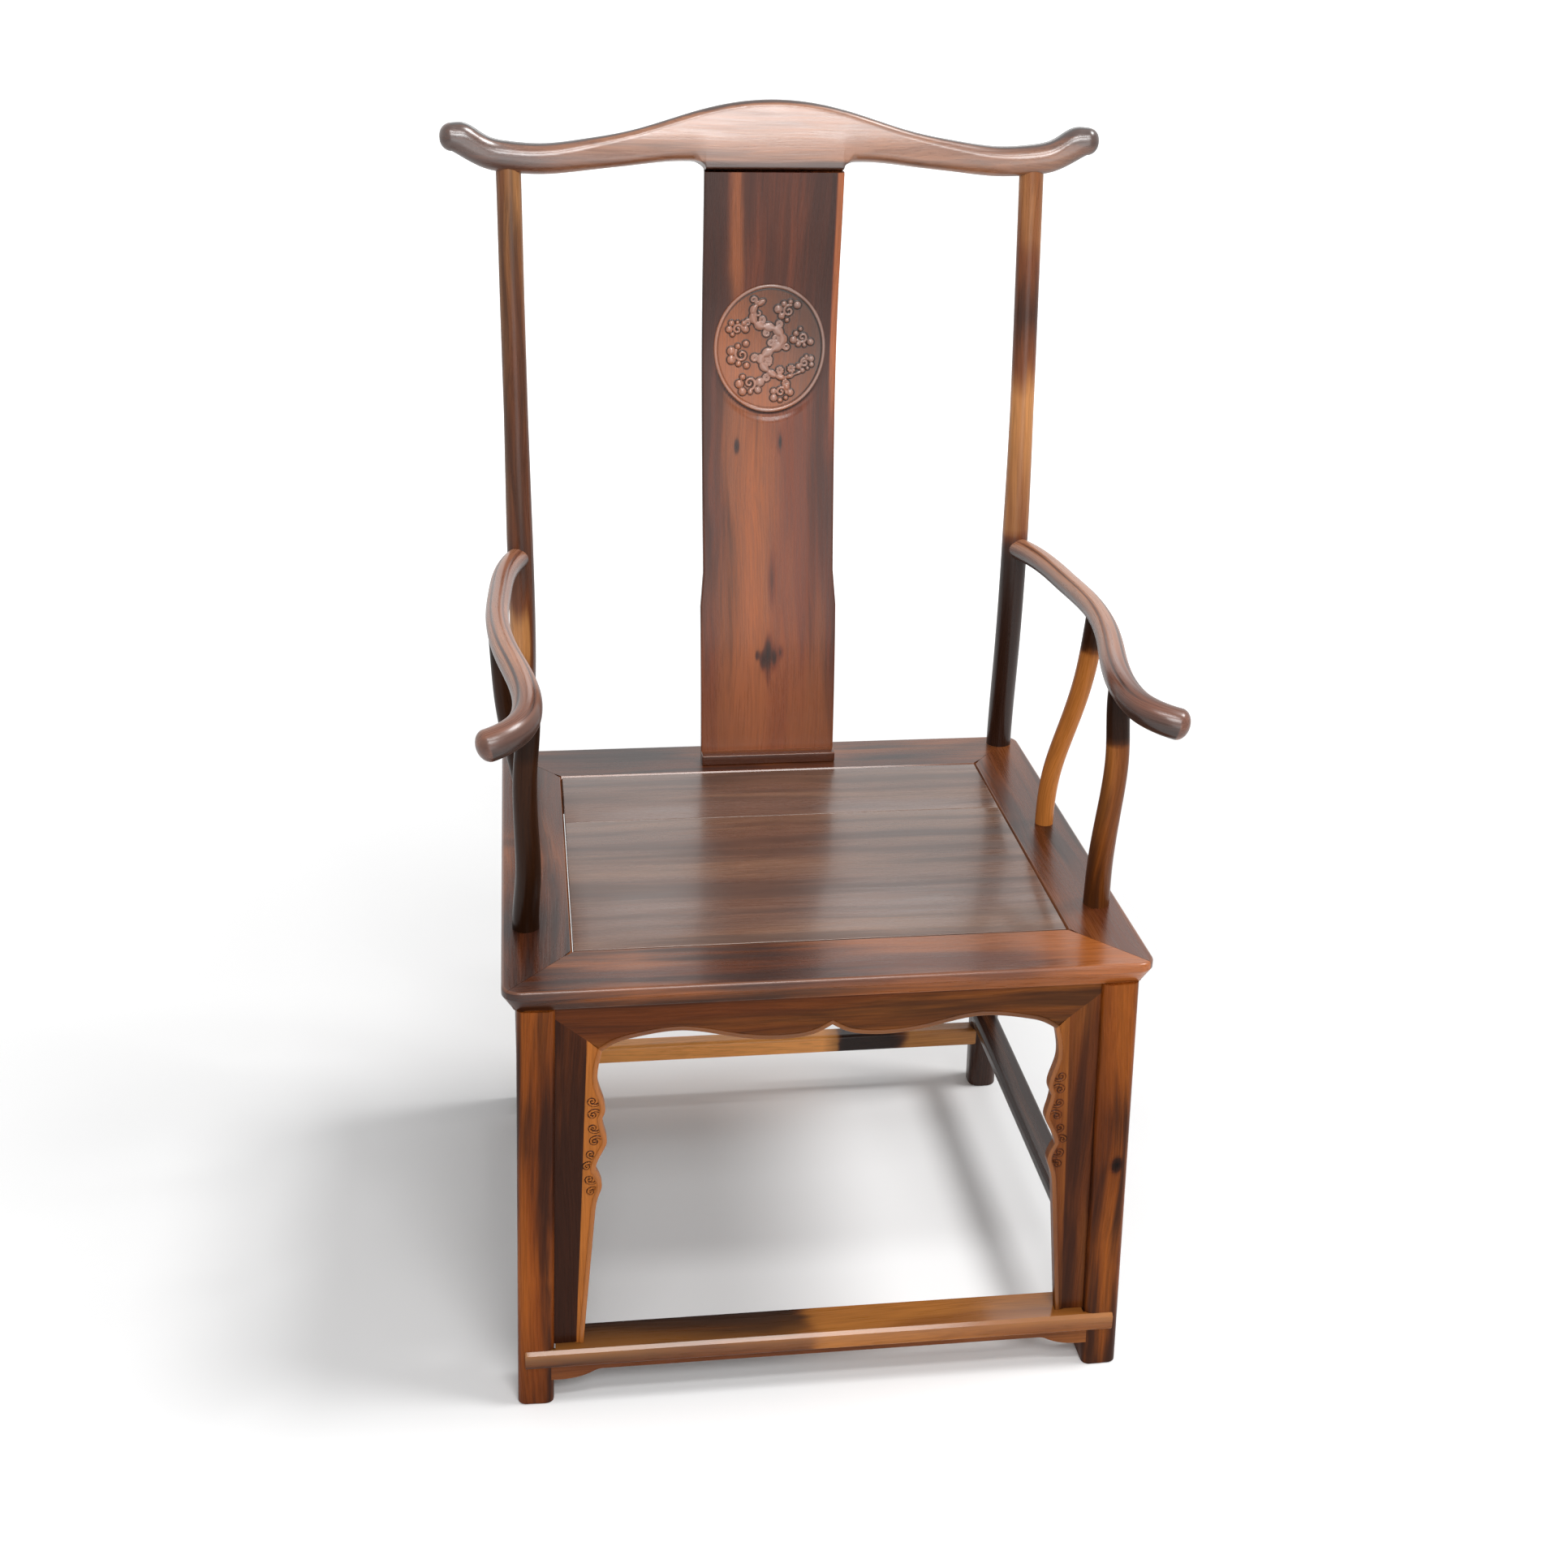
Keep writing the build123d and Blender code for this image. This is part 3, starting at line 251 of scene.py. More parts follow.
def streaked(tree, place, along, across, detail, roughness=0.55):
    """Noise drawn out along the grain, with so many turns a metre along and across it."""
    scaled = moved(tree, "MULTIPLY", place, (along, across, across))
    feeds = {"Vector": scaled, "Scale": 1.0, "Detail": detail, "Roughness": roughness}
    return wired(tree, "ShaderNodeTexNoise", feeds)


timber = bpy.data.node_groups.new("polished_rosewood", "ShaderNodeTree")
for way, labels, kind in (
    ("INPUT", ("Grain",), "Vector"),
    ("INPUT", ("Seed", "Streaks", "Warmth", "Tone", "Edge", "Gloss"), "Float"),
    ("INPUT", ("Ground", "Dark", "Warm"), "Color"),
    ("OUTPUT", ("Color",), "Color"),
    ("OUTPUT", ("Roughness", "Height", "Coat"), "Float"),
):
    for label in labels:
        timber.interface.new_socket(label, in_out=way, socket_type="NodeSocket" + kind)
given = timber.nodes.new("NodeGroupInput").outputs
# The seed moves each timber to its own place in the noise, and a slow noise bends the grain.
apart = {axis: counted(timber, "MULTIPLY", given["Seed"], far) for axis, far in enumerate((1.73, 0.37, 0.29))}
apart = wired(timber, "ShaderNodeCombineXYZ", apart).outputs[0]
place = moved(timber, "ADD", given["Grain"], apart)
wander = moved(timber, "SUBTRACT", streaked(timber, place, 2.6, 9.0, 2.0).outputs["Color"], (0.5, 0.5, 0.5))
place = moved(timber, "ADD", place, moved(timber, "MULTIPLY", wander, (0.05, 0.034, 0.034)))
# Broad bands of colour, dark lines, pores and a wavy figure.
bands = streaked(timber, place, 1.5, 17.0, 3.0).outputs["Fac"]
lines = streaked(timber, place, 2.2, 52.0, 5.0).outputs["Fac"]
fibre = streaked(timber, place, 16.0, 520.0, 3.0, 0.6).outputs["Fac"]
figure = streaked(timber, place, 7.0, 30.0, 2.0).outputs["Fac"]
# Tone widens the warm bands, thins the dark lines and lightens the whole; it carries the pieces' painted
# light and shade too.
toned = counted(timber, "MULTIPLY", given["Tone"], 0.16)
warm_mask = spread(timber, counted(timber, "ADD", bands, toned), 0.44, 0.66)
warm_mask = counted(timber, "MULTIPLY", warm_mask, given["Warmth"])
colour = blended(timber, warm_mask, given["Ground"], given["Warm"])
dark_mask = counted(timber, "SUBTRACT", counted(timber, "MULTIPLY_ADD", figure, 0.25, lines), toned)
dark_mask = counted(timber, "MULTIPLY", spread(timber, dark_mask, 0.56, 0.80), given["Streaks"])
colour = blended(timber, dark_mask, colour, given["Dark"])
shade = counted(timber, "MAXIMUM", counted(timber, "MULTIPLY_ADD", given["Tone"], 0.28, 1.0), 0.1)
light = counted(timber, "MULTIPLY", spread(timber, fibre, 0.3, 0.7, 0.84, 1.14), shade)
tint = wired(timber, "ShaderNodeCombineXYZ", {0: light, 1: light, 2: light}).outputs[0]
colour = blended(timber, 1.0, colour, tint, "MULTIPLY")
# Worn places, and the painted highlight on the carved oval, show the warm colour and are a little rougher.
wear_and_highlight = counted(timber, "MULTIPLY", given["Edge"], spread(timber, figure, 0.3, 0.7, 0.25, 0.75))
colour = blended(timber, wear_and_highlight, colour, given["Warm"])
rough = spread(timber, lines, 0.3, 0.7, 0.2, 0.3)
rough = counted(timber, "ADD", rough, spread(timber, fibre, 0.3, 0.7, 0.0, 0.09))
rough = counted(timber, "MULTIPLY_ADD", wear_and_highlight, 0.12, rough)
height = counted(timber, "MULTIPLY_ADD", lines, 0.6, fibre)
coat = counted(timber, "MULTIPLY_ADD", given["Edge"], 0.7, counted(timber, "MULTIPLY", given["Gloss"], 0.3))
wired(timber, "NodeGroupOutput", {"Color": colour, "Roughness": rough, "Height": height, "Coat": coat})


def rosewood(name, ground, warm, streaks=0.85, warmth=0.7, seed=0.0, turn=None, gloss=0.3):
    """Polished rosewood: the timber's colour, gloss and pores under a thin waxed coat.

    A new piece brings its own grain as an attribute. A kept one is read by its place, turned so
    that the grain runs along it."""
    material = bpy.data.materials.new(name)
    material.use_nodes = True
    tree = material.node_tree
    if turn is None:
        grain = wired(tree, "ShaderNodeAttribute", attribute_name="grain").outputs["Vector"]
    else:
        place = tree.nodes.new("ShaderNodeTexCoord").outputs["Object"]
        grain = wired(tree, "ShaderNodeMapping", {"Vector": place, "Rotation": turn}).outputs[0]
    feeds = {
        "Grain": grain,
        "Seed": seed,
        "Ground": (*ground, 1),
        "Warm": (*warm, 1),
        "Dark": (0.012, 0.005, 0.004, 1),
        "Streaks": streaks,
        "Warmth": warmth,
        "Tone": wired(tree, "ShaderNodeAttribute", attribute_name="tone").outputs["Fac"],
        "Edge": wired(tree, "ShaderNodeAttribute", attribute_name="edge").outputs["Fac"],
        "Gloss": gloss,
    }
    wood = wired(tree, "ShaderNodeGroup", feeds, node_tree=timber).outputs
    bump = wired(tree, "ShaderNodeBump", {"Height": wood["Height"], "Strength": 0.3, "Distance": 0.0003})
    feeds = {
        "Base Color": wood["Color"],
        "Roughness": wood["Roughness"],
        "Normal": bump.outputs[0],
        "IOR": 1.5,
        "Specular IOR Level": gloss,
        "Coat Weight": wood["Coat"],
        "Coat Roughness": 0.12,
    }
    fed(tree, tree.nodes["Principled BSDF"], feeds)
    return material


def bell(value, middle, width):
    """Bell curve: e to minus the square of the distance from middle, counted in widths."""
    return np.exp(-(((value - middle) / width) ** 2))


leg_timber = rosewood("leg_rosewood", (0.160, 0.036, 0.005), (0.29, 0.080, 0.011), seed=1.0, gloss=0.08)
frame_bottom = 0.451
leg_half, leg_top_x, leg_splay = 0.018, 0.279, 0.0135
front_leg_heights = np.linspace(0, frame_bottom, 120)
down = 1 - front_leg_heights / frame_bottom
for side, hand, tones in ((1, "right", (-0.3, 0.1, -0.5, 0.0)), (-1, "left", (-0.2, 0.5, -0.5, 0.0))):
    path = np.stack([side * (leg_top_x + leg_splay * down), -0.270 - 0.002 * down, front_leg_heights], axis=1)
    corners = (0.008, 0.003, 0.008, 0.008) if side > 0 else (0.003, 0.008, 0.008, 0.008)
    outline = cornered(leg_half, leg_half, np.array([corners]), 6, (5, 5))[0]
    grid, grain = carried(path, outline * (-1, 1), (0, 1, 0), (0.0015, 0))
    grid[..., 2] = np.maximum(grid[..., 2], 0)
    tone = np.interp(grid[..., 2], (0, 0.15, 0.3, 0.45), tones)
    if side > 0:  # a knot in the front face
        away = np.hypot((grid[..., 0] - path[0, 0] + 0.002) / 0.6, grid[..., 2] - 0.246)
        tone = tone - 3.5 * bell(away, 0, 0.006) * (grid[..., 1] < -0.28)
    grain = grain + (3.0 * side + 5, 0.2 * side, 0)
    shell(f"front_leg_{hand}", "rounded", grid, grain, leg_timber, tone=tone)

# ---- Back legs and posts ---------------------
# Each back leg and its post are one piece of rosewood: rounded square below, it passes round
# through the seat frame, sways back and forward again and ends under the crest rail.


def ramp(value, low, high):
    """0 as far as low, 1 from high on and a straight run between, also where high is the less."""
    return np.clip((value - low) / (high - low), 0, 1)


post_timber = rosewood("post_rosewood", (0.135, 0.038, 0.011), (0.41, 0.185, 0.060), seed=2.0, streaks=0.6)
seat_top, post_rise = 0.475, 0.662
rear_x, rear_y = 0.2855, 0.272
post_points = np.stack(
    [
        rear_x - 0.007 * np.array([0, 0.6, 0.78, 0.86, 0.9, 1]),
        rear_y - 0.035 * np.array([0, 0.74, 1, 0.83, 0.52, 8 / 35]),
        seat_top + post_rise * np.array([0, 0.19, 0.415, 0.64, 0.82, 1]),
    ],
    axis=1,
)
post_lean = np.array([0, 0.12, 1])
post_line = line_through(post_points, 110, (0, 0, 1), post_lean)
post_end = post_line[-1] + post_lean / np.linalg.norm(post_lean) * 0.009
leg_heights = np.linspace(0, frame_bottom, 40)
leg_down = 1 - leg_heights / frame_bottom
leg_line = np.stack([rear_x + 0.0055 * leg_down, rear_y + 0.001 * leg_down, leg_heights], axis=1)
frame_line = [(rear_x, rear_y, height) for height in (0.4512, 0.46, 0.47)]
whole_line = np.concatenate([leg_line, frame_line, post_line, [post_end]])
post_radius = np.interp((whole_line[:, 2] - seat_top) / post_rise, (0.42, 0.62), (0.0145, 0.0131))
square = whole_line[:, 2] <= frame_bottom
half = np.where(square, 0.0175, post_radius)
corner = np.where(square, 0.013, post_radius)
# The right post is painted as sunlit, with painted shade under the seat and under the arm and a painted
# shadow band below the crest rail; the left one is painted darker, as shaded.
for side, hand, tones in (
    (1, "right", (-1.6, -2.0, -2.5, 1.1, 1.8, -0.9, 0.8, 1.2)),
    (-1, "left", (-1.0, -0.7, -0.8, -0.5, -0.3, -0.2, -0.2, 0.0)),
):
    grid, grain = carried(whole_line * (side, 1, 1), swept_round(half, corner), (0, 1, 0), (0.0015, 0))
    grid[..., 2] = np.maximum(grid[..., 2], 0)
    tone = np.interp(grid[..., 2], (0, 0.45, 0.72, 0.75, 0.9, 0.99, 1.07, 1.14), tones)
    if side < 0:  # painted sunlight outside, between the seat and the arm
        tone = tone + 2.6 * bell(grid[..., 2], 0.635, 0.045) * ramp(-grid[..., 0], 0.270, 0.275)
    grain = grain + (2.0 * side + 9, 0.3 * side, 0.1)
    shell(f"rear_leg_{hand}", "swayed", grid, grain, post_timber, tone=tone)

# ---- Seat frame ------------------------------
# Four rosewood rails, mitred and tenoned at the corners. Their upper arris is rounded, the edge
# draws in towards its foot, and their inner edges are grooved for the panel.
frame_timber = rosewood("seat_frame_rosewood", (0.08, 0.02, 0.006), (0.27, 0.078, 0.015), seed=3.0, gloss=0.4)
half_wide, half_deep, half_open = 0.310, 0.293, 0.2425
# Inset and height up the edge: a small arris, a slant and a quarter round.
slant = np.linspace(0, 1, 6)
edge_turn = np.linspace(0, np.pi / 2, 7)
edge_line = np.concatenate(
    [
        [(0.0100, frame_bottom), (0.0095, 0.4512)],
        np.stack([0.0095 * (1 - slant), 0.4518 + 0.0148 * slant], axis=1),
        np.stack([0.003 * (1 - np.cos(edge_turn)), 0.472 + 0.003 * np.sin(edge_turn)], axis=1),
    ]
)


def plan_point(inset, along, near, far, corner=0.018):
    """Point of the frame's plan on one side: along runs from mitre to mitre, and the corner is a
    quarter circle that the mitre halves. Near is the side's own half size, far its half length."""
    radius = np.maximum(corner - inset, 1e-5)
    reach = far - inset - radius
    arc = radius * np.pi / 4
    run = along * (reach + arc)
    over = np.clip((np.abs(run) - reach) / arc, 0, 1) * np.pi / 4
    straight = np.clip(run, -reach, reach)
    return straight + np.sign(run) * radius * np.sin(over), near - inset - radius * (1 - np.cos(over))


def seat_rail(label, turn, near, far, inner_near, inner_far, offset, tones):
    """One rail: the moulded edge follows the rounded plan, and the flat top runs from there to
    the inner edge along the mitres."""
    toward_mitre = np.r_[np.linspace(0.9, 0.999, 14), 0.9995, 1]
    along = np.r_[-toward_mitre[::-1], np.linspace(-0.88, 0.88, 60), toward_mitre]
    rows = []
    for inset, z in edge_line:
        x, y = plan_point(inset, along, near, far)
        rows.append(np.stack([x, y, np.full_like(x, z)], axis=1))
    outer = rows[-1]
    inner = along[:, None] * (inner_far, 0, 0) + (0, inner_near, seat_top)
    rows += [outer * (1 - share) + inner * share for share in (0.05, 0.3, 0.6, 0.85)]
    # An arris, the wall of the opening and its foot.
    wall = ((0.0022, 0), (0.0016, 0), (0, -0.0026), (0, -0.0236), (0.0005, -0.024))
    rows += [inner + (0, outward, rise) for outward, rise in wall]
    grid = np.stack(rows, axis=1)
    # The mitres stay a hair apart and show as a fine line.
    grid[[0, -1], :, 0] *= 0.99995
    shut = np.abs(along) >= 0.9995
    grid[shut, :, 2] -= np.where(grid[shut, :, 2] > 0.4745, 0.0005, 0)
    edge = np.zeros(grid.shape[:2])
    edge[:, 10:14] = 0.5
    edge[:, 20:22] = 1.0
    tone = np.interp(grid[..., 0], np.linspace(-far, far, len(tones)), tones)
    grain = grid + (offset, 0, 0)
    c, s = math.cos(turn), math.sin(turn)
    grid = grid @ np.array([(c, s, 0), (-s, c, 0), (0, 0, 1)])
    return shell(label, "moulded", grid, grain, frame_timber, edge, tone, 30)


def side_rail(label, side, offset, tones):
    """A side rail, whose opening lies off the middle of its length, worked out on the front
    rail's plan and turned a quarter."""
    rail = seat_rail(label, -side * math.pi / 2, half_wide, half_deep, half_open, 0.2125, offset, tones)
    points = np.empty(len(rail.data.vertices) * 3, np.float32)
    rail.data.vertices.foreach_get("co", points)
    points = points.reshape(-1, 3)
    points[:, 1] -= 0.0025 * ramp(np.abs(points[:, 0]), 0.3065, half_open)
    rail.data.vertices.foreach_set("co", points.ravel())


front_tones, back_tones = (2.2, 0.6, 0.4, -0.4, 0.2, -0.4), (0.2, -0.5, 0.4, -0.3, 0.2)
seat_rail("seat_frame_front", math.pi, half_deep, half_wide, 0.215, half_open, 21.0, front_tones)
seat_rail("seat_frame_back", 0.0, half_deep, half_wide, 0.210, half_open, 24.0, back_tones)
side_rail("seat_frame_right", 1, 27.0, (0.5, 0.2, -0.5, 0.3, 0.6))
side_rail("seat_frame_left", -1, 30.0, (-0.4, -0.6, 0.1, -0.4, -0.2))

# ---- Seat panel ------------------------------
# Two rosewood boards, tongued together, that float in the frame's groove. An open line is left
# all round, and two battens dovetailed across the underside keep them flat.
panel_timber = rosewood(
    "panel_rosewood", (0.115, 0.056, 0.036), (0.22, 0.115, 0.066),
    seed=4.0, streaks=0.5, warmth=0.45, gloss=0.62
)
board_arris = 0.0009
arris_marks = np.tile(np.sin(np.linspace(0, np.pi, 5)), 4) / 2
boards = (("seat_board_front", -0.214, 0.0819, 33.0), ("seat_board_back", 0.0821, 0.2078, 36.0))
for label, front, back, offset in boards:
    middle = (front + back) / 2
    path = np.linspace((-0.2415, middle, 0.4685), (0.2415, middle, 0.4685), 30)
    outline = cornered((back - front) / 2, 0.0065, board_arris)
    grid, grain = carried(path, outline, (0, 0, 1), (board_arris, board_arris))
    grain = grain + (offset, 0.4, 0)
    shell(label, "eased", grid, grain, panel_timber, arris_marks, crisp=30)

along_x, along_y = (0, 0, 0), (0, 0, math.pi / 2)
batten_timber = rosewood("batten_rosewood", (0.07, 0.025, 0.014), (0.2, 0.07, 0.03), seed=5.0, turn=along_y)


def finished(material, *labels):
    """Gives pieces of the solid model their timber."""
    for label in labels:
        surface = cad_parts[label].data
        surface.materials.clear()
        surface.materials.append(material)


finished(batten_timber, "seat_batten_left", "seat_batten_right")

# ---- Front apron -----------------------------
# A kunmen arch of rosewood: a head and two stiles, mitred together and tongued into the frame
# and the legs. A bead runs along their cusped inner edges, and the stiles are carved with curls.
apron_timber = rosewood(
    "apron_rosewood", (0.105, 0.026, 0.006), (0.27, 0.090, 0.016), seed=6.0, streaks=0.7, gloss=0.08
)


def leg_inner_face(height):
    """Sideways place of the right front leg's inner face at a height."""
    return leg_top_x - leg_half + leg_splay * (1 - height / frame_bottom)


def beaded(edge, outer, toward_end, blunt=0.0035):
    """Frieze between a cusped edge and a plain outer line.

    Its profile is carried along the edge: up the edge, over a half-round bead, down to the
    ground, across to the outer line and back behind. The bead keeps its width square to the
    edge, and the direction across is averaged over a short run so that it turns round cusps. It
    turns into the mitre at the start, and by toward_end at the end."""
    run = np.r_[0, np.cumsum(np.linalg.norm(np.diff(edge, axis=0), axis=1))]
    ahead = np.gradient(edge, run, axis=0)
    across = np.stack([-ahead[:, 1], ahead[:, 0]], axis=1)
    if ((outer - edge) * across).sum() < 0:
        across = -across
    weight = bell(run[:, None], run, blunt)
    across = weight @ across / weight.sum(axis=1, keepdims=True)
    across /= np.linalg.norm(across, axis=1, keepdims=True)
    mitre = outer - edge
    mitre /= np.linalg.norm(mitre, axis=1, keepdims=True)
    for mark, near in ((run, 1.0), (run[-1] - run, toward_end)):
        blend = near * bell(mark, 0, 0.006)[:, None]
        across = across * (1 - blend) + mitre * blend
    ground, behind = -0.2790, -0.2702
    profile = np.array(
        [
            (0.0006, behind), (0.0, -0.2708), (0.0, -0.2795), (0.0003, -0.2803), (0.0011, -0.2808),
            (0.0024, -0.2810), (0.0037, -0.2808), (0.0046, -0.2802), (0.0050, -0.2793), (0.0058, ground),
        ]
    )
    bead = edge[:, None] + across[:, None] * profile[:, :1]
    rows = [np.column_stack([bead[:, k], np.full(len(edge), y)]) for k, y in enumerate(profile[:, 1])]
    flat = [(share, ground) for share in (*np.linspace(0.02, 0.42, 21), 0.55, 0.75, 0.95, 1.0)]
    for share, y in flat + [(1.0, behind)]:
        point = bead[:, -1] * (1 - share) + outer * share
        rows.append(np.column_stack([point, np.full(len(edge), y)]))
    grid = np.stack(rows, axis=1)[..., [0, 2, 1]]
    return grid, np.r_[0, 0, 0.3, 0.7, 0.8, 0.6, 0.5, 0.2, np.zeros(len(rows) - 8)]


arch_foot, mitre_top = 0.402, 0.438
arch_shares = np.array([0, 0.06, 0.165, 0.43, 0.65, 0.86, 0.94, 1])
arch_rises = np.array([16.5, 9, 4, 8.5, 18, 13, 8, 0]) / 1000
arch_points = np.stack([(leg_inner_face(arch_foot) - 0.044) * arch_shares, arch_foot + arch_rises], axis=1)
half_arch = line_through(arch_points, 240)
arch = np.concatenate([half_arch[:0:-1] * (-1, 1), half_arch])
# The outer line follows the frame and falls along the leg to the mitre at each end.
over = np.linspace(-1, 1, len(arch))
fall = ramp(np.abs(over), 0.97, 1)
corner_x, mitre_x = leg_inner_face(frame_bottom), leg_inner_face(mitre_top)
outer_x = np.clip(over / 0.97, -1, 1) * corner_x + np.sign(over) * fall * (mitre_x - corner_x)
outer = np.stack([outer_x, frame_bottom - fall * (frame_bottom - mitre_top)], axis=1)
grid, edge = beaded(arch, outer, 1.0)
grain = grid[..., [0, 2, 1]] + (40.0, 0, 0)
shell("front_apron_head", "beaded", grid, grain, apron_timber, edge, -0.2, 30)


def scroll(middle, start, end, first_turn, last_turn, width, taper, count=60):
    """A spiral ridge: middle, first and last radius, turns in degrees, half width at its start
    and the share of it left at its end. Points as rows of sideways, up and half width."""
    share = np.linspace(0, 1, count)
    turn = np.radians(first_turn + (last_turn - first_turn) * share)
    radius = start + (end - start) * share**0.8
    wide = width * (1 + (taper - 1) * share)
    return np.stack([middle[0] + radius * np.cos(turn), middle[1] + radius * np.sin(turn), wide], axis=1)


def carved(across, up, strokes, depth, rim):
    """Height and painted shade over a patch of points from round strokes, each a row of place
    across, place up and half width w. A stroke stands min(depth, w) sqrt(1 - (r / w)^2) high, and
    the painted shade round its foot fades to nothing a rim's width outside it, on the low ground only."""
    height, crevice_shade = np.zeros_like(across), np.zeros_like(across)
    for at_across, at_up, wide in strokes:
        near = (np.abs(across - at_across) < wide + rim) & (np.abs(up - at_up) < wide + rim)
        away = np.hypot(across[near] - at_across, up[near] - at_up)
        dome = min(depth, wide) * np.sqrt(np.clip(1 - (away / wide) ** 2, 0, 1))
        height[near] = np.maximum(height[near], dome)
        crevice_shade[near] = np.maximum(crevice_shade[near], np.clip(1 - (away - wide) / rim, 0, 1))
    return height, crevice_shade * (height < 0.4 * depth)


# Lobes of the stiles' edge: drop below the frame and width out from the leg, in millimetres.
stile_lobes = (
    ((49, 44), (65, 41), (82, 40.3), (106, 46.8), (115, 47.8), (124, 45)),
    ((124, 45), (136, 47.3), (152, 49.6), (158, 47.4), (175, 40.2), (181, 39.1)),
    ((181, 39.1), (193, 44.4), (200, 45.7), (211, 42.8), (232, 39.4)),
)
foot_rail_top = 0.0655
stile_edge = []
for lobe in stile_lobes:
    points = [(leg_inner_face(frame_bottom - d / 1000) - w / 1000, frame_bottom - d / 1000) for d, w in lobe]
    stile_edge.append(line_through(points, 120)[:-1])
stile_foot = (leg_inner_face(foot_rail_top) - 0.0295, foot_rail_top)
stile_edge.append(np.linspace(stile_edge[-1][-1], stile_foot, 60)[1:])
stile_edge = np.concatenate(stile_edge)
drops = np.linspace(mitre_top, foot_rail_top, len(stile_edge))
stile_outer = np.stack([leg_inner_face(drops), drops], axis=1)
# Curls: drop below the frame, distance from the edge and radius, in millimetres.
curl_places = (
    (104, 11, 4.2), (119, 11, 4.4), (134, 10.5, 4.2), (149, 12, 4.6),
    (163, 10.5, 4.0), (177, 9, 3.6), (192, 10.5, 4.2), (206, 9.5, 3.6),
)
curls = []
for number, (drop, away, size) in enumerate(curl_places):
    hand = 1 if number % 2 else -1
    edge_x = np.interp(drop / 1000, frame_bottom - stile_edge[:, 1], stile_edge[:, 0]) * 1000
    middle = (edge_x + away, frame_bottom * 1000 - drop)
    curls.append(scroll(middle, size, 0.6, 100 * hand, -320 * hand, 1.1, 0.8))
    curls.append(scroll(middle, size * 2.1, size, 190 * hand, 90 * hand, 0.7, 1.6, 30))
curls = np.concatenate(curls) / 1000
field = slice(9, -2)  # the ground between the bead and the back
# The left stile gets a painted sunlit strip along its edge and painted shade from the leg over the rest; the
# right one has only a faint strip. Painted shade also darkens the ground round the carved curls.
for side, hand, tones, pale, outlined in (
    (1, "right", (-0.2, 0.1), 0.6, 1.4),
    (-1, "left", (-1.1, -0.9), 3.0, 4.5),
):
    grid, edge = beaded(stile_edge, stile_outer, 0.0)
    height, crevice_shade = carved(grid[:, field, 0], grid[:, field, 2], curls, 0.0012, 0.0011)
    grid[:, field, 1] -= height
    grid = grid * (side, 1, 1)
    inward = leg_inner_face(grid[..., 2]) - np.abs(grid[..., 0])
    painted_sunlit_strip = ramp(inward - np.interp(grid[..., 2], (0.08, 0.40), (0.022, 0.029)), 0, 0.0012)
    tone = np.interp(grid[..., 2], (0.1, 0.42), tones) + pale * painted_sunlit_strip
    tone[:, field] -= outlined * crevice_shade
    grain = grid[..., [2, 0, 1]] + (44.0 + 3 * side, 0, 0)
    shell(f"front_apron_stile_{hand}", "beaded", grid, grain, apron_timber, edge, tone, 30)

# ---- Side and back aprons --------------------
# Plain rosewood boards with an ogee bracket at each end, tongued under the seat frame.
for name, seed, turn, labels in (
    ("side_apron_rosewood", 7.0, along_y, ("side_apron_left", "side_apron_right")),
    ("back_apron_rosewood", 8.0, along_x, ("back_apron",)),
):
    board_timber = rosewood(name, (0.08, 0.022, 0.009), (0.24, 0.08, 0.024), seed=seed, turn=turn, gloss=0.15)
    finished(board_timber, *labels)

# ---- Foot rail -------------------------------
# The rail the sitter's feet rest on: tenoned between the front legs, with a lip that runs on
# across their faces. A small bracketed apron is let in under it.
rail_timber = rosewood("foot_rail_rosewood", (0.135, 0.038, 0.008), (0.36, 0.135, 0.026), seed=9, gloss=0.18)
rail_end, rail_front = leg_inner_face(foot_rail_top), -0.293
lip = np.linspace(rail_end + 0.0001, rail_end + 0.029, 6)
spans = np.concatenate([-lip[::-1], np.linspace(-rail_end, rail_end, 60), lip])
path = spans[:, None] * (1, 0, 0) + (0, rail_front, 0.0555)
depth = np.where(np.abs(spans) <= rail_end + 1e-6, -0.250, -0.285)[:, None] - rail_front
# In section: the rounded nose below, the worn front arris above, and four corners behind.
nose = np.linspace(0, np.pi / 2, 6)
front_y = np.concatenate([0.003 * (1 - np.sin(nose)), np.linspace(0, 0.0032, 6)])
front_z = np.concatenate([-0.007 - 0.003 * np.cos(nose), np.linspace(0.0068, 0.010, 6)])
front = np.broadcast_to(np.stack([front_y, front_z], axis=-1), (len(spans), 12, 2))
rear_y = depth - (0.001, 0, 0, 0.001)
rear = np.stack([rear_y, np.broadcast_to((0.010, 0.009, -0.009, -0.010), rear_y.shape)], axis=-1)
section = np.concatenate([front, rear], axis=1) * (-1, 1)
grid, grain = carried(path, section, (0, 0, 1), (0.0015, 0.0015))
edge = np.r_[np.zeros(6), np.full(5, 0.9), 0.7, np.zeros(4)]
# The top is painted darker on the left, a painted shadow of the seat; the front face is spared.
tone = np.interp(grid[..., 0], (-0.3, -0.03, 0.0, 0.3), (-1.3, -1.3, 0.9, 0.7))
tone = np.where(grid[..., 1] < -0.2915, np.maximum(tone, -0.3), tone)
shell("foot_rail", "nosed", grid, grain + (50.0, 0, 0), rail_timber, edge, tone, 40)
foot_apron_timber = rosewood(
    "foot_apron_rosewood", (0.13, 0.036, 0.009), (0.30, 0.100, 0.022), seed=10.0, turn=along_x, gloss=0.12
)
finished(foot_apron_timber, "foot_rail_apron")

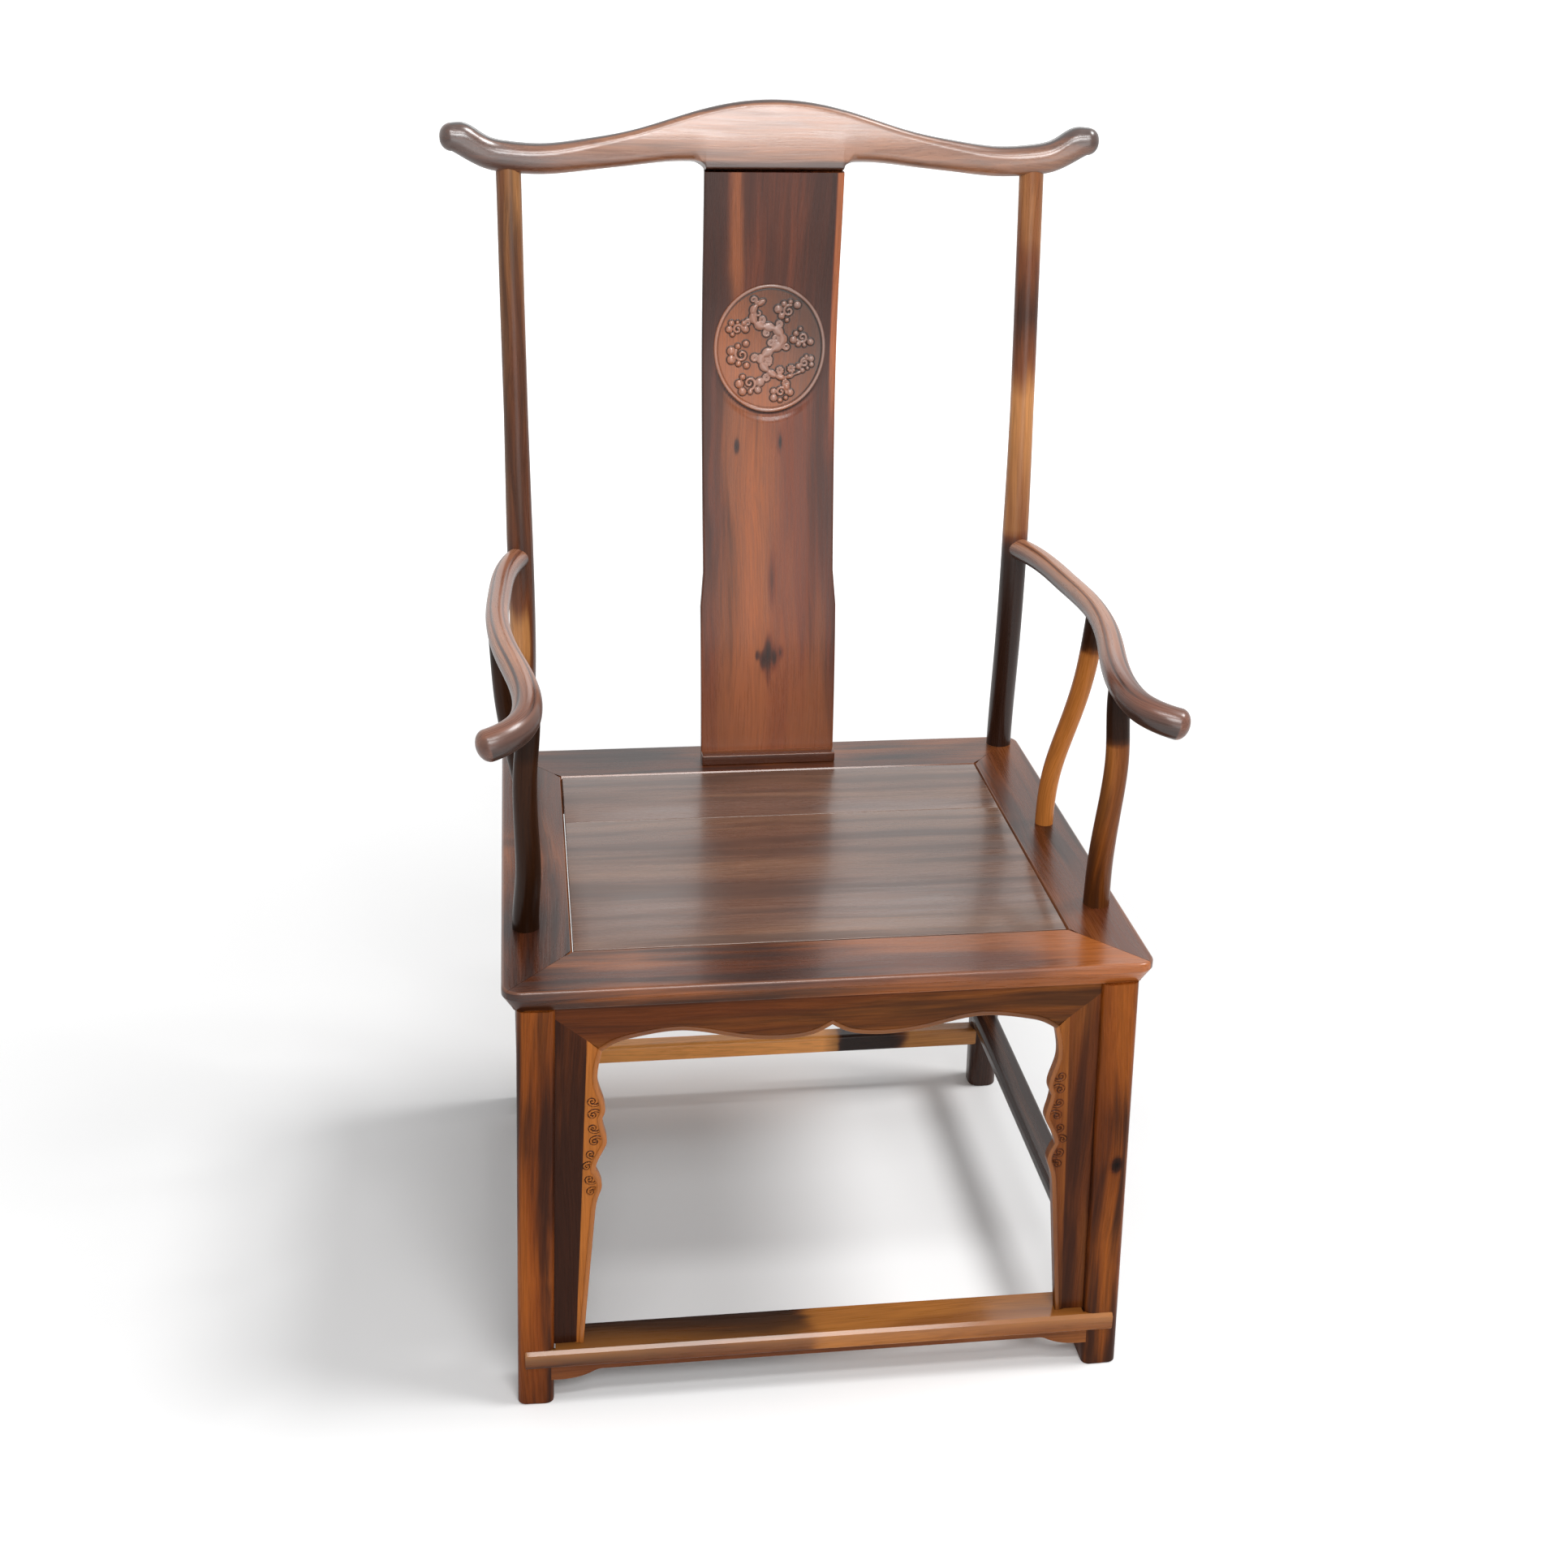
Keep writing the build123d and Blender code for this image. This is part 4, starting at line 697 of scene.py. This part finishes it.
# ---- Stretchers ------------------------------
# Plain rosewood bars with rounded arrises, tenoned between the legs: one low at the back, and
# one at each side a little higher.
bar_timber = rosewood("stretcher_rosewood", (0.10, 0.032, 0.011), (0.42, 0.18, 0.048), seed=11.0, gloss=0.25)
side_bar_z, back_bar_y, back_bar_z = 0.0995, 0.2693, 0.072
for side, hand in ((1, "right"), (-1, "left")):
    path = np.linspace((side * 0.2893, -0.258, side_bar_z), (side * 0.2872, 0.262, side_bar_z), 40)
    grid, grain = carried(path, cornered(0.0155, 0.0085, 0.005, 6), (0, 0, 1))
    grain = grain + (54.0 + 2 * side, 0, 0)
    shell(f"side_stretcher_{hand}", "rounded", grid, grain, bar_timber, tone=-1.0)
path = np.linspace((-0.278, back_bar_y, back_bar_z), (0.278, back_bar_y, back_bar_z), 40)
grid, grain = carried(path, cornered(0.0115, 0.012, 0.005, 6), (0, 0, 1))
# Painted sunlight over its left part, then a painted shadow, then lighter again to the right.
tone = np.interp(grid[..., 0], (-0.28, 0.085, 0.10, 0.17, 0.19, 0.28), (5.5, 5.5, -1.5, -1.3, 1.0, 1.0))
shell("back_stretcher", "rounded", grid, grain + (60.0, 0, 0), bar_timber, tone=tone)

# ---- Back splat ------------------------------
# One S-curved board of figured rosewood, tongued into the frame below and the crest rail above,
# with a ledge in front of its foot. A carved oval medallion stands proud near its top.
splat_timber = rosewood(
    "splat_rosewood", (0.148, 0.032, 0.010), (0.27, 0.080, 0.024), seed=12.0, streaks=0.55, gloss=0.34
)
splat_rise, splat_half_thick = 0.664, 0.0055
splat_shares = (0, 0.19, 0.37, 0.54, 0.70, 0.81, 0.91, 1)
splat_sways = np.array([0, 4, 18, 31, 36.5, 31.5, 21, 13]) / 1000


def splat_face(height):
    """How far back the splat's face lies at a height."""
    share = (np.ravel(height) - seat_top) / splat_rise
    return 0.244 + smooth(splat_shares, splat_sways, share)[:, 0].reshape(np.shape(height))


splat_heights = np.linspace(seat_top, seat_top + splat_rise, 400)
path = np.stack([0 * splat_heights, splat_face(splat_heights) + splat_half_thick, splat_heights], axis=1)
half_width = np.interp(splat_heights, (0.66, 0.70), (0.078, 0.0745))
ring = cornered(half_width, splat_half_thick, np.full(400, 0.0015), 4, (60, 2))
grid, grain = carried(path, ring, (0, -1, 0))
side, up = grid[..., 0], grid[..., 2]
oval_x, oval_z, oval_up = 0.062, 0.0705, 0.950
# The ground is hollowed a little under the foot of the carved oval.
ray = np.hypot(side / oval_x, (up - oval_up) / oval_z)
below = np.clip((oval_up - up) / oval_z / ray, 0, 1) ** 2
outside = (ray - 1) * 0.066
grid[..., 1] += 0.0022 * bell(outside, 0.0035, 0.005) * below * (grid[..., 1] < path[:, None, 1])
# Darker at the sides; lighter towards the foot as a painted sheen, and darker towards the top.
tone = np.interp(np.abs(side), (0, 0.03, 0.055, 0.075), (0.4, 0.1, -0.7, -1.1))
tone += np.interp(up, (0.475, 0.60, 0.75, 0.90, 1.0, 1.139), (1.1, 0.9, 0.3, 0.2, -0.6, -0.8))
# Painted sunlight along one edge, a painted shadow line under the oval and two warm streaks.
tone += 3.4 * ramp(side, 0.0665, 0.0685) * ramp(up, 0.82, 0.95)
tone -= 3.5 * bell(outside, 0.0008, 0.0012) * below
tone += 0.9 * bell(side, -0.018, 0.008) * np.interp(up, (0.58, 0.66, 0.80, 0.88), (0, 1, 1, 0))
tone += 1.2 * bell(side, -0.040, 0.009) * ramp(up, 0.98, 1.04)
# Knots: place across and up, half width, half height and depth of tone.
knots = (
    (-0.006, 0.597, 0.003, 0.011, 3.5), (0.0, 0.606, 0.0035, 0.016, 4.0), (0.007, 0.600, 0.003, 0.010, 3.5),
    (-0.013, 0.603, 0.0022, 0.006, 2.5), (0.014, 0.606, 0.0022, 0.006, 2.5), (0.0, 0.583, 0.0018, 0.014, 2.0),
    (-0.036, 0.842, 0.002, 0.007, 3.5), (0.013, 0.846, 0.002, 0.008, 3.5), (0.004, 0.69, 0.003, 0.022, 1.6),
)
for at_side, at_up, wide, tall, depth in knots:
    tone -= depth * bell(side, at_side, wide) * bell(up, at_up, tall)
sheen = np.interp(up, (0.475, 0.60), (0.9, 0.0))
shell("back_splat", "curved", grid, grain + (70.0, 0, 0), splat_timber, sheen, tone, 30)

path = np.linspace((-0.078, 0.238, 0.481), (0.078, 0.238, 0.481), 20)
grid, grain = carried(path, cornered(0.009, 0.006, 0.0015), (0, 0, 1), (0.001, 0.001))
shell("back_splat", "ledge", grid, grain + (74.0, 0, 0), frame_timber, edge=arris_marks)

# A cloud dragon's body winds down between seven clouds, each a curl among small round knobs.
# Places and sizes are in millimetres from the middle of the oval.
bends = (-8, 52), (-20, 40), (-14, 26), (4, 22), (14, 10), (2, -2), (-10, -12), (0, -26), (14, -32), (34, -26)
body = line_through(bends, 300)
swell = 4.4 * np.sin(np.linspace(0.5, np.pi - 0.2, 300)) ** 0.7 * (1 + 0.3 * np.sin(np.linspace(0, 90, 300)))
carving = [np.column_stack([body, swell])]
clouds = (
    (-36, 21, 0.9), (20, 41, 1.05), (-31, -7, 1.2), (36, 12, 0.95),
    (-22, -38, 1.15), (13, -48, 0.95), (39, -16, 0.8),
)
for number, (x, z, size) in enumerate(clouds):
    carving.append(scroll((x, z), 6.5 * size, 1.4, 70 * number, 70 * number + 440, 2.0, 0.8, 50))
    for knob in range(6):
        bearing = math.radians(45 * knob + 35 * number)
        reach = size * (9.8 + 1.2 * math.sin(2.3 * knob + number))
        spot = (x + reach * math.cos(bearing), z + reach * math.sin(bearing))
        carving.append([(*spot, size * (3.7 + 1.0 * math.cos(1.7 * knob + number)))])
for place in range(14, 285, 18):
    ahead = body[place + 1] - body[place - 1]
    fin = np.array([-ahead[1], ahead[0]]) / np.linalg.norm(ahead) * (1 if place // 18 % 2 else -1)
    root = math.degrees(math.atan2(-fin[1], -fin[0]))
    carving.append(scroll(body[place] + fin * 7.0, 4.0, 1.0, root, place * 3.0 + 360, 1.9, 0.7, 30))
carving = np.concatenate(carving) / 1000
carving = carving[np.hypot(carving[:, 0] / oval_x, carving[:, 1] / oval_z) + carving[:, 2] / 0.066 < 0.92]
# The disc runs out in rings: the carved ground, half a millimetre proud, and a half-round band.
rings = np.concatenate([np.linspace(0.004, 0.925, 124), np.linspace(0.932, 1.0, 22)])[:, None]
turns = (np.arange(560) + 0.5) / 560 * 2 * np.pi
disc_x, disc_z = oval_x * rings * np.cos(turns), oval_z * rings * np.sin(turns)
height, crevice_shade = carved(disc_x, disc_z, carving, 0.003, 0.0016)
band_high = 0.0022
band = np.sqrt(np.clip(1 - ((rings - 0.966) / 0.034) ** 2, 0, 1)) * band_high
inside = rings < 0.93
height = np.where(inside, height + 0.0005, band)
height[-1] = -0.001
z = oval_up + disc_z
front = np.stack([disc_x, splat_face(z) - height, z], axis=-1)
back_rings = rings[::-6][1:]
back_z = oval_up + oval_z * back_rings * np.sin(turns)
back = np.stack([oval_x * back_rings * np.cos(turns), splat_face(back_z) + 0.002, back_z], axis=-1)
grid = np.concatenate([front, back])
# A painted shadow inside the band, strongest towards the upper right, joins the painted shade round the
# carving.
painted_ring_shadow = bell(rings, 0.925, 0.011) * (0.6 + 0.4 * np.cos(turns - 0.8))
crevice_shade = np.maximum(crevice_shade * inside, painted_ring_shadow)
# The ground darkens towards the upper right. Raised parts are painted lighter, and their tops take the pale
# grey-pink warm colour, partly as wear and partly as a painted highlight.
ground = np.clip(-0.5 - (disc_x * 0.9 + disc_z * 0.6) / 0.03, -2.3, 0.7)
tone = np.concatenate([ground - 4.5 * crevice_shade + 0.8 * height / 0.003, 0 * back_z])
wear_and_highlight = np.concatenate([np.clip(1.6 * (height / band_high - 0.3), 0, 1), 0 * back_z])
grain = grid[..., [2, 0, 1]] + (78.0, 0, 0)
medallion_timber = rosewood(
    "medallion_rosewood", (0.25, 0.062, 0.009), (0.36, 0.225, 0.185),
    seed=13.0, streaks=0.15, warmth=0.0, gloss=0.55
)
shell("back_splat", "medallion", grid, grain, medallion_timber, wear_and_highlight, tone, 180)

# ---- Crest rail ------------------------------
# The yoke that crowns the back, shaped from one thick rosewood plank: it bows and leans back in
# the middle, narrows over the posts and ends in upturned rounded tips. The posts are pegged up
# into it, and a flat seat under its middle takes the splat.
crest_timber = rosewood(
    "crest_rosewood", (0.110, 0.036, 0.016), (0.29, 0.115, 0.048), seed=14.0, streaks=0.6, gloss=0.95
)
crest_half, crest_foot, tip = 0.3475, 1.137, 0.0125
# Share of the half length, lower and upper line in millimetres, and how far it is the middle.
crest_stations = np.array(
    [
        (0, 10, 72.8, 1), (0.18, 10.5, 66.2, 1), (0.32, 11, 53.4, 0.9), (0.45, 6.5, 41.3, 0.65),
        (0.59, 1.5, 33.3, 0.35), (0.73, -2.2, 28.5, 0.1), (0.83, -0.5, 31, 0), (0.90, 3.5, 37.5, 0),
        (0.955, 12, 48.5, 0), (1, 21, 49, 0),
    ]
)
both = np.concatenate([crest_stations[:0:-1] * (-1, 1, 1, 1), crest_stations])
shoulders = np.linspace(0.2187, 0.2648, 18)
share = np.sort(np.concatenate([np.linspace(-1, 1, 240), shoulders, -shoulders]))
low, high, middleness = smooth(both[:, 0], both[:, 1:] * (0.001, 0.001, 1), share).T
middleness = np.clip(middleness, 0, 1)
inner = ramp(np.abs(share) * crest_half, 0.092, 0.076)
seat = 1 - np.sqrt(1 - inner**2)
seated = low + (0.0022 - low) * seat
thick, tall = 0.032 - 0.004 * middleness, high - seated
blunt = 0.47 * np.minimum(thick, tall)
upper = blunt + (0.0085 - blunt) * np.clip(middleness * 1.6, 0, 1)
lower = upper + (0.0025 - upper) * np.clip(seat * 4, 0, 1)
outline = cornered(thick / 2, tall / 2, np.stack([upper, upper, lower, lower], axis=1), 8, (5, 16))
level = outline[..., 1] / (tall / 2)[:, None]
bulge = 0.0012 * middleness[:, None] * (1 - level**2)
outline[..., 0] += np.sign(outline[..., 0]) * bulge * ramp(np.abs(outline[..., 0]), 0, 0.01)
lean = np.radians(12) * middleness[:, None]
across, rise = outline[..., 0], outline[..., 1]
# The bow is measured from where the posts enter.
middle_y = 0.264 + 0.018 * (0.2785 / crest_half) ** 2 - 0.018 * share**2 - 0.0015 * middleness
sunk = (seated - low)[:, None] / 2 * np.tan(lean)
y = middle_y[:, None] + sunk + across * np.cos(lean) + rise * np.sin(lean)
z = (crest_foot + (seated + high) / 2)[:, None] - across * np.sin(lean) + rise * np.cos(lean)
x = np.broadcast_to((share * (crest_half - tip))[:, None], y.shape)
grid = np.stack([x, y, z], axis=-1)
turn = np.linspace(0, np.pi / 2, 12)[1:, None, None]
for end, sign in ((0, -1), (-1, 1)):
    middle = grid[end].mean(axis=0)
    drawn = (grid[end] - middle) * (1 - 0.9 * (1 - np.cos(turn)))
    cap = middle + drawn + np.array([sign * tip, 0, 0]) * np.sin(turn)
    grid = np.concatenate([grid, cap] if end else [cap[::-1], grid])
tones = (-0.8, -0.5, 0.3, 0.7, 0.5, 0.0, -0.7)
tone = np.interp(grid[..., 0], (-0.345, -0.30, -0.2, 0, 0.15, 0.29, 0.345), tones)
tone[11:-11] -= 2.6 * ramp(level, 0.86, 0.96)
tone -= ramp(grid[..., 2], 1.150, 1.148) * (np.abs(grid[..., 0]) < 0.095)
shell("crest_rail", "yoke", grid, grid + (80.0, 0, 0), crest_timber, tone=tone, crisp=30)

# ---- Arm posts -------------------------------
# Between the seat frame and each arm stand two curved rosewood posts: a goose-neck that leans
# forward near the arm's end, and a slimmer side post that sways out. Both are pegged at each end.
support_timber = rosewood(
    "support_rosewood", (0.180, 0.052, 0.010), (0.38, 0.135, 0.028), seed=15.0, streaks=0.6, gloss=0.1
)
# Name, top, foot, bends (share of the height, then sideways and back in millimetres), radii, and
# the heights and tones of the right one, which paint sunlight and the arm's shadow at its top.
supports = (
    (
        "gooseneck", (0.2765, -0.206, 0.728), (0.286, -0.161, seat_top),
        ((0.24, -4, -15), (0.48, -4, -29), (0.72, -5, -40)), (0.0133, 0.0116, 0.0109),
        (0.475, 0.56, 0.665, 0.675, 0.73), (-0.6, -0.1, 0.1, -2.6, -2.9),
    ),
    (
        "side_post", (0.3032, -0.0255, 0.737), (0.2822, 0.0365, seat_top),
        ((0.23, 2, -6), (0.46, 11, -22), (0.69, 18, -43)), (0.0099, 0.0102, 0.0107),
        (0.475, 0.56, 0.690, 0.705, 0.74), (2.2, 1.8, 1.2, -2.2, -2.6),
    ),
)
for name, top, foot, bends, radii, levels, right_sun_and_shade in supports:
    foot, top = np.array(foot), np.array(top)
    line = [foot + (dx / 1000, dy / 1000, (top[2] - foot[2]) * level) for level, dx, dy in bends]
    axis = line_through([foot, *line, top], 70, (0, 0, 1), (0.05, -0.1, 1))
    axis = np.concatenate([[foot - (0, 0, 0.004)], axis])
    radius = np.interp(np.linspace(0, 1, len(axis)), (0, 0.5, 1), radii)
    # The right one takes the painted sunlight and shadow above; the left one is painted dark, as shaded.
    for side, hand, tones in ((1, "right", right_sun_and_shade), (-1, "left", (-2.9, -2.6, -2.2, -2.8, -3.0))):
        grid, grain = carried(axis * (side, 1, 1), swept_round(radius, radius, 40), (0, 1, 0))
        grain = grain + (90.0 + 2 * side + len(name), 0, 0)
        tone = np.interp(grid[..., 2], levels, tones)
        shell(f"{name}_{hand}", "bent", grid, grain, support_timber, tone=tone)

# ---- Arms ------------------------------------
# Each arm is one bent piece of rosewood, pegged into the back post. It swings out, comes in over
# the goose-neck and turns outwards again in a thick rounded end. Two shallow channels run along
# its top.
arm_timber = rosewood(
    "arm_rosewood", (0.150, 0.052, 0.027), (0.35, 0.160, 0.085), seed=16.0, streaks=0.5, gloss=0.6
)
# Share of the way to the front, then outwards and up in millimetres.
arm_curve = np.array(
    [
        (0.06, 9.8, 0.6), (0.28, 22.4, 2.3), (0.498, 23.6, 6.2), (0.66, 14.3, 4.4),
        (0.822, -1.1, -0.9), (0.902, -2.8, -5.3), (0.963, 6, -11), (1, 42.5, -20.5),
    ]
)
arm_start, arm_front = np.array([0.280, 0.2367, 0.731]), -0.2755
steps = arm_curve[:, [1, 0, 2]] * (0.001, arm_front - arm_start[1], 0.001)
arm_line = line_through(np.concatenate([[arm_start], arm_start + steps]), 400, (0.4, -1, 0), (1, 0, -0.2))
share = np.linspace(0, 1, len(arm_line))
radius = np.interp(share, (0, 0.25, 0.5, 0.7, 0.88, 1), (0.0122, 0.012, 0.0115, 0.013, 0.0137, 0.015))
radius = np.convolve(np.pad(radius, 12, mode="edge"), np.ones(25) / 25, mode="valid")
ring = swept_round(radius, radius, 72)
turn = np.arctan2(ring[..., 1], ring[..., 0])
fade = np.interp(share, (0.0, 0.08, 0.88, 0.95), (0, 1, 1, 0))[:, None]
for side, hand in ((1, "right"), (-1, "left")):
    away = (turn - np.pi / 2) * side
    channel = fade * (bell(away, 0.62, 0.09) + 0.6 * bell(away, -0.55, 0.08))
    ring_cut = ring * (1 - 0.0009 * channel / radius[:, None])[..., None]
    grid, grain = carried(arm_line * (side, 1, 1), ring_cut, (0, 0, 1), (0, 0.011), domed=True)
    # Lighter along the middle and back; the channels are darker, and the underside is painted dark as shade.
    tone = np.interp(grid[..., 1], (-0.27, -0.235, -0.15, 0, 0.25), (-0.1, 0.0, 1.0, 1.3, 1.0))
    tone[: len(channel)] -= 3.0 * channel + np.interp(np.sin(turn), (-0.2, 0.5), (2.4, 0.0))
    grain = grain + (100.0 + 2 * side, 0, 0)
    shell(f"arm_{hand}", "bent", grid, grain, arm_timber, tone=tone)

# ---- Room ------------------------------------
# A pale seamless floor in soft daylight from the right and above, and a camera at seated height.
white = (1, 1, 1, 1)
floor_mesh = bpy.data.meshes.new("floor")
floor_mesh.from_pydata([(-40, -40, 0), (40, -40, 0), (40, 60, 0), (-40, 60, 0)], [], [(0, 1, 2, 3)])
floor = added("floor", floor_mesh)
floor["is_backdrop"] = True
floor_paint = bpy.data.materials.new("floor_paint")
floor_paint.use_nodes = True
tree = floor_paint.node_tree
# For the camera alone the floor brightens away from the chair, so that it ends in white.
seen = tree.nodes.new("ShaderNodeLightPath").outputs["Is Camera Ray"]
place = tree.nodes.new("ShaderNodeTexCoord").outputs["Object"]
away = wired(tree, "ShaderNodeVectorMath", {0: place}, operation="LENGTH").outputs["Value"]
lift = spread(tree, away, 0.8, 3.0, 0.02, 0.6)
feeds = {
    "Base Color": (0.88, 0.88, 0.88, 1),
    "Roughness": 0.9,
    "Specular IOR Level": 0.1,
    "Emission Color": white,
    "Emission Strength": counted(tree, "MULTIPLY", seen, lift),
}
fed(tree, tree.nodes["Principled BSDF"], feeds)
floor_mesh.materials.append(floor_paint)

world = bpy.data.worlds.new("daylight")
bpy.context.scene.world = world
world.use_nodes = True
tree = world.node_tree
sky = fed(tree, tree.nodes["Background"], {"Color": white, "Strength": 0.32})
backdrop = wired(tree, "ShaderNodeBackground", {"Color": white, "Strength": 1.0})
seen = tree.nodes.new("ShaderNodeLightPath").outputs
direct = counted(tree, "MAXIMUM", seen["Is Camera Ray"], seen["Is Glossy Ray"])
direct = counted(tree, "MAXIMUM", direct, seen["Is Transmission Ray"])
mixed = wired(tree, "ShaderNodeMixShader", {0: direct, 1: sky.outputs[0], 2: backdrop.outputs[0]})
fed(tree, tree.nodes["World Output"], {"Surface": mixed.outputs[0]})

for name, kind, place, aim, power, settings in (
    ("window", "SUN", (1.5, -0.1, 2.4), (0, 0, 0), 1.9, {"angle": math.radians(20)}),
    ("softbox", "AREA", (0.15, -2.5, 2.45), (0, 0.27, 1.15), 34, {"size": 1.3, "size_y": 0.7}),
    ("strip", "AREA", (-0.1, -1.7, 3.2), (0, -0.1, 0.45), 26, {"size": 1.6, "size_y": 0.35}),
    ("card", "AREA", (0.3, -2.9, 0.72), (0, 0.3, 0.65), 13, {"size": 1.8, "size_y": 1.2}),
    ("back_softbox", "AREA", (0.9, 3.4, 2.9), (0, 0.1, 0.5), 8, {"size": 2.0, "size_y": 0.7}),
):
    light = bpy.data.lights.new(name, kind)
    light.energy = power
    if kind == "AREA":
        light.shape = "RECTANGLE"
    for key, value in settings.items():
        setattr(light, key, value)
    lamp = added(name, light)
    lamp.location = place
    lamp.rotation_mode = "QUATERNION"
    lamp.rotation_quaternion = Vector(np.subtract(aim, place)).to_track_quat("-Z", "Y")

turn, tilt, roll = 0.1363, 0.4056, 0.0200
ahead = np.array([math.sin(turn) * math.cos(tilt), math.cos(turn) * math.cos(tilt), -math.sin(tilt)])
right = np.array([math.cos(turn), -math.sin(turn), 0])
up = np.cross(right, ahead)
across = right * math.cos(roll) + up * math.sin(roll)
upward = up * math.cos(roll) - right * math.sin(roll)
camera = added("camera", bpy.data.cameras.new("camera"))
camera_place = (-0.27180, -1.88892, 1.36642)
camera.matrix_world = Matrix([*zip(across, upward, -ahead, camera_place), (0, 0, 0, 1)])
camera.data.sensor_width = 36
camera.data.lens = 45.27
bpy.context.scene.camera = camera
bpy.context.scene.view_settings.view_transform = "Standard"

low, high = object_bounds()
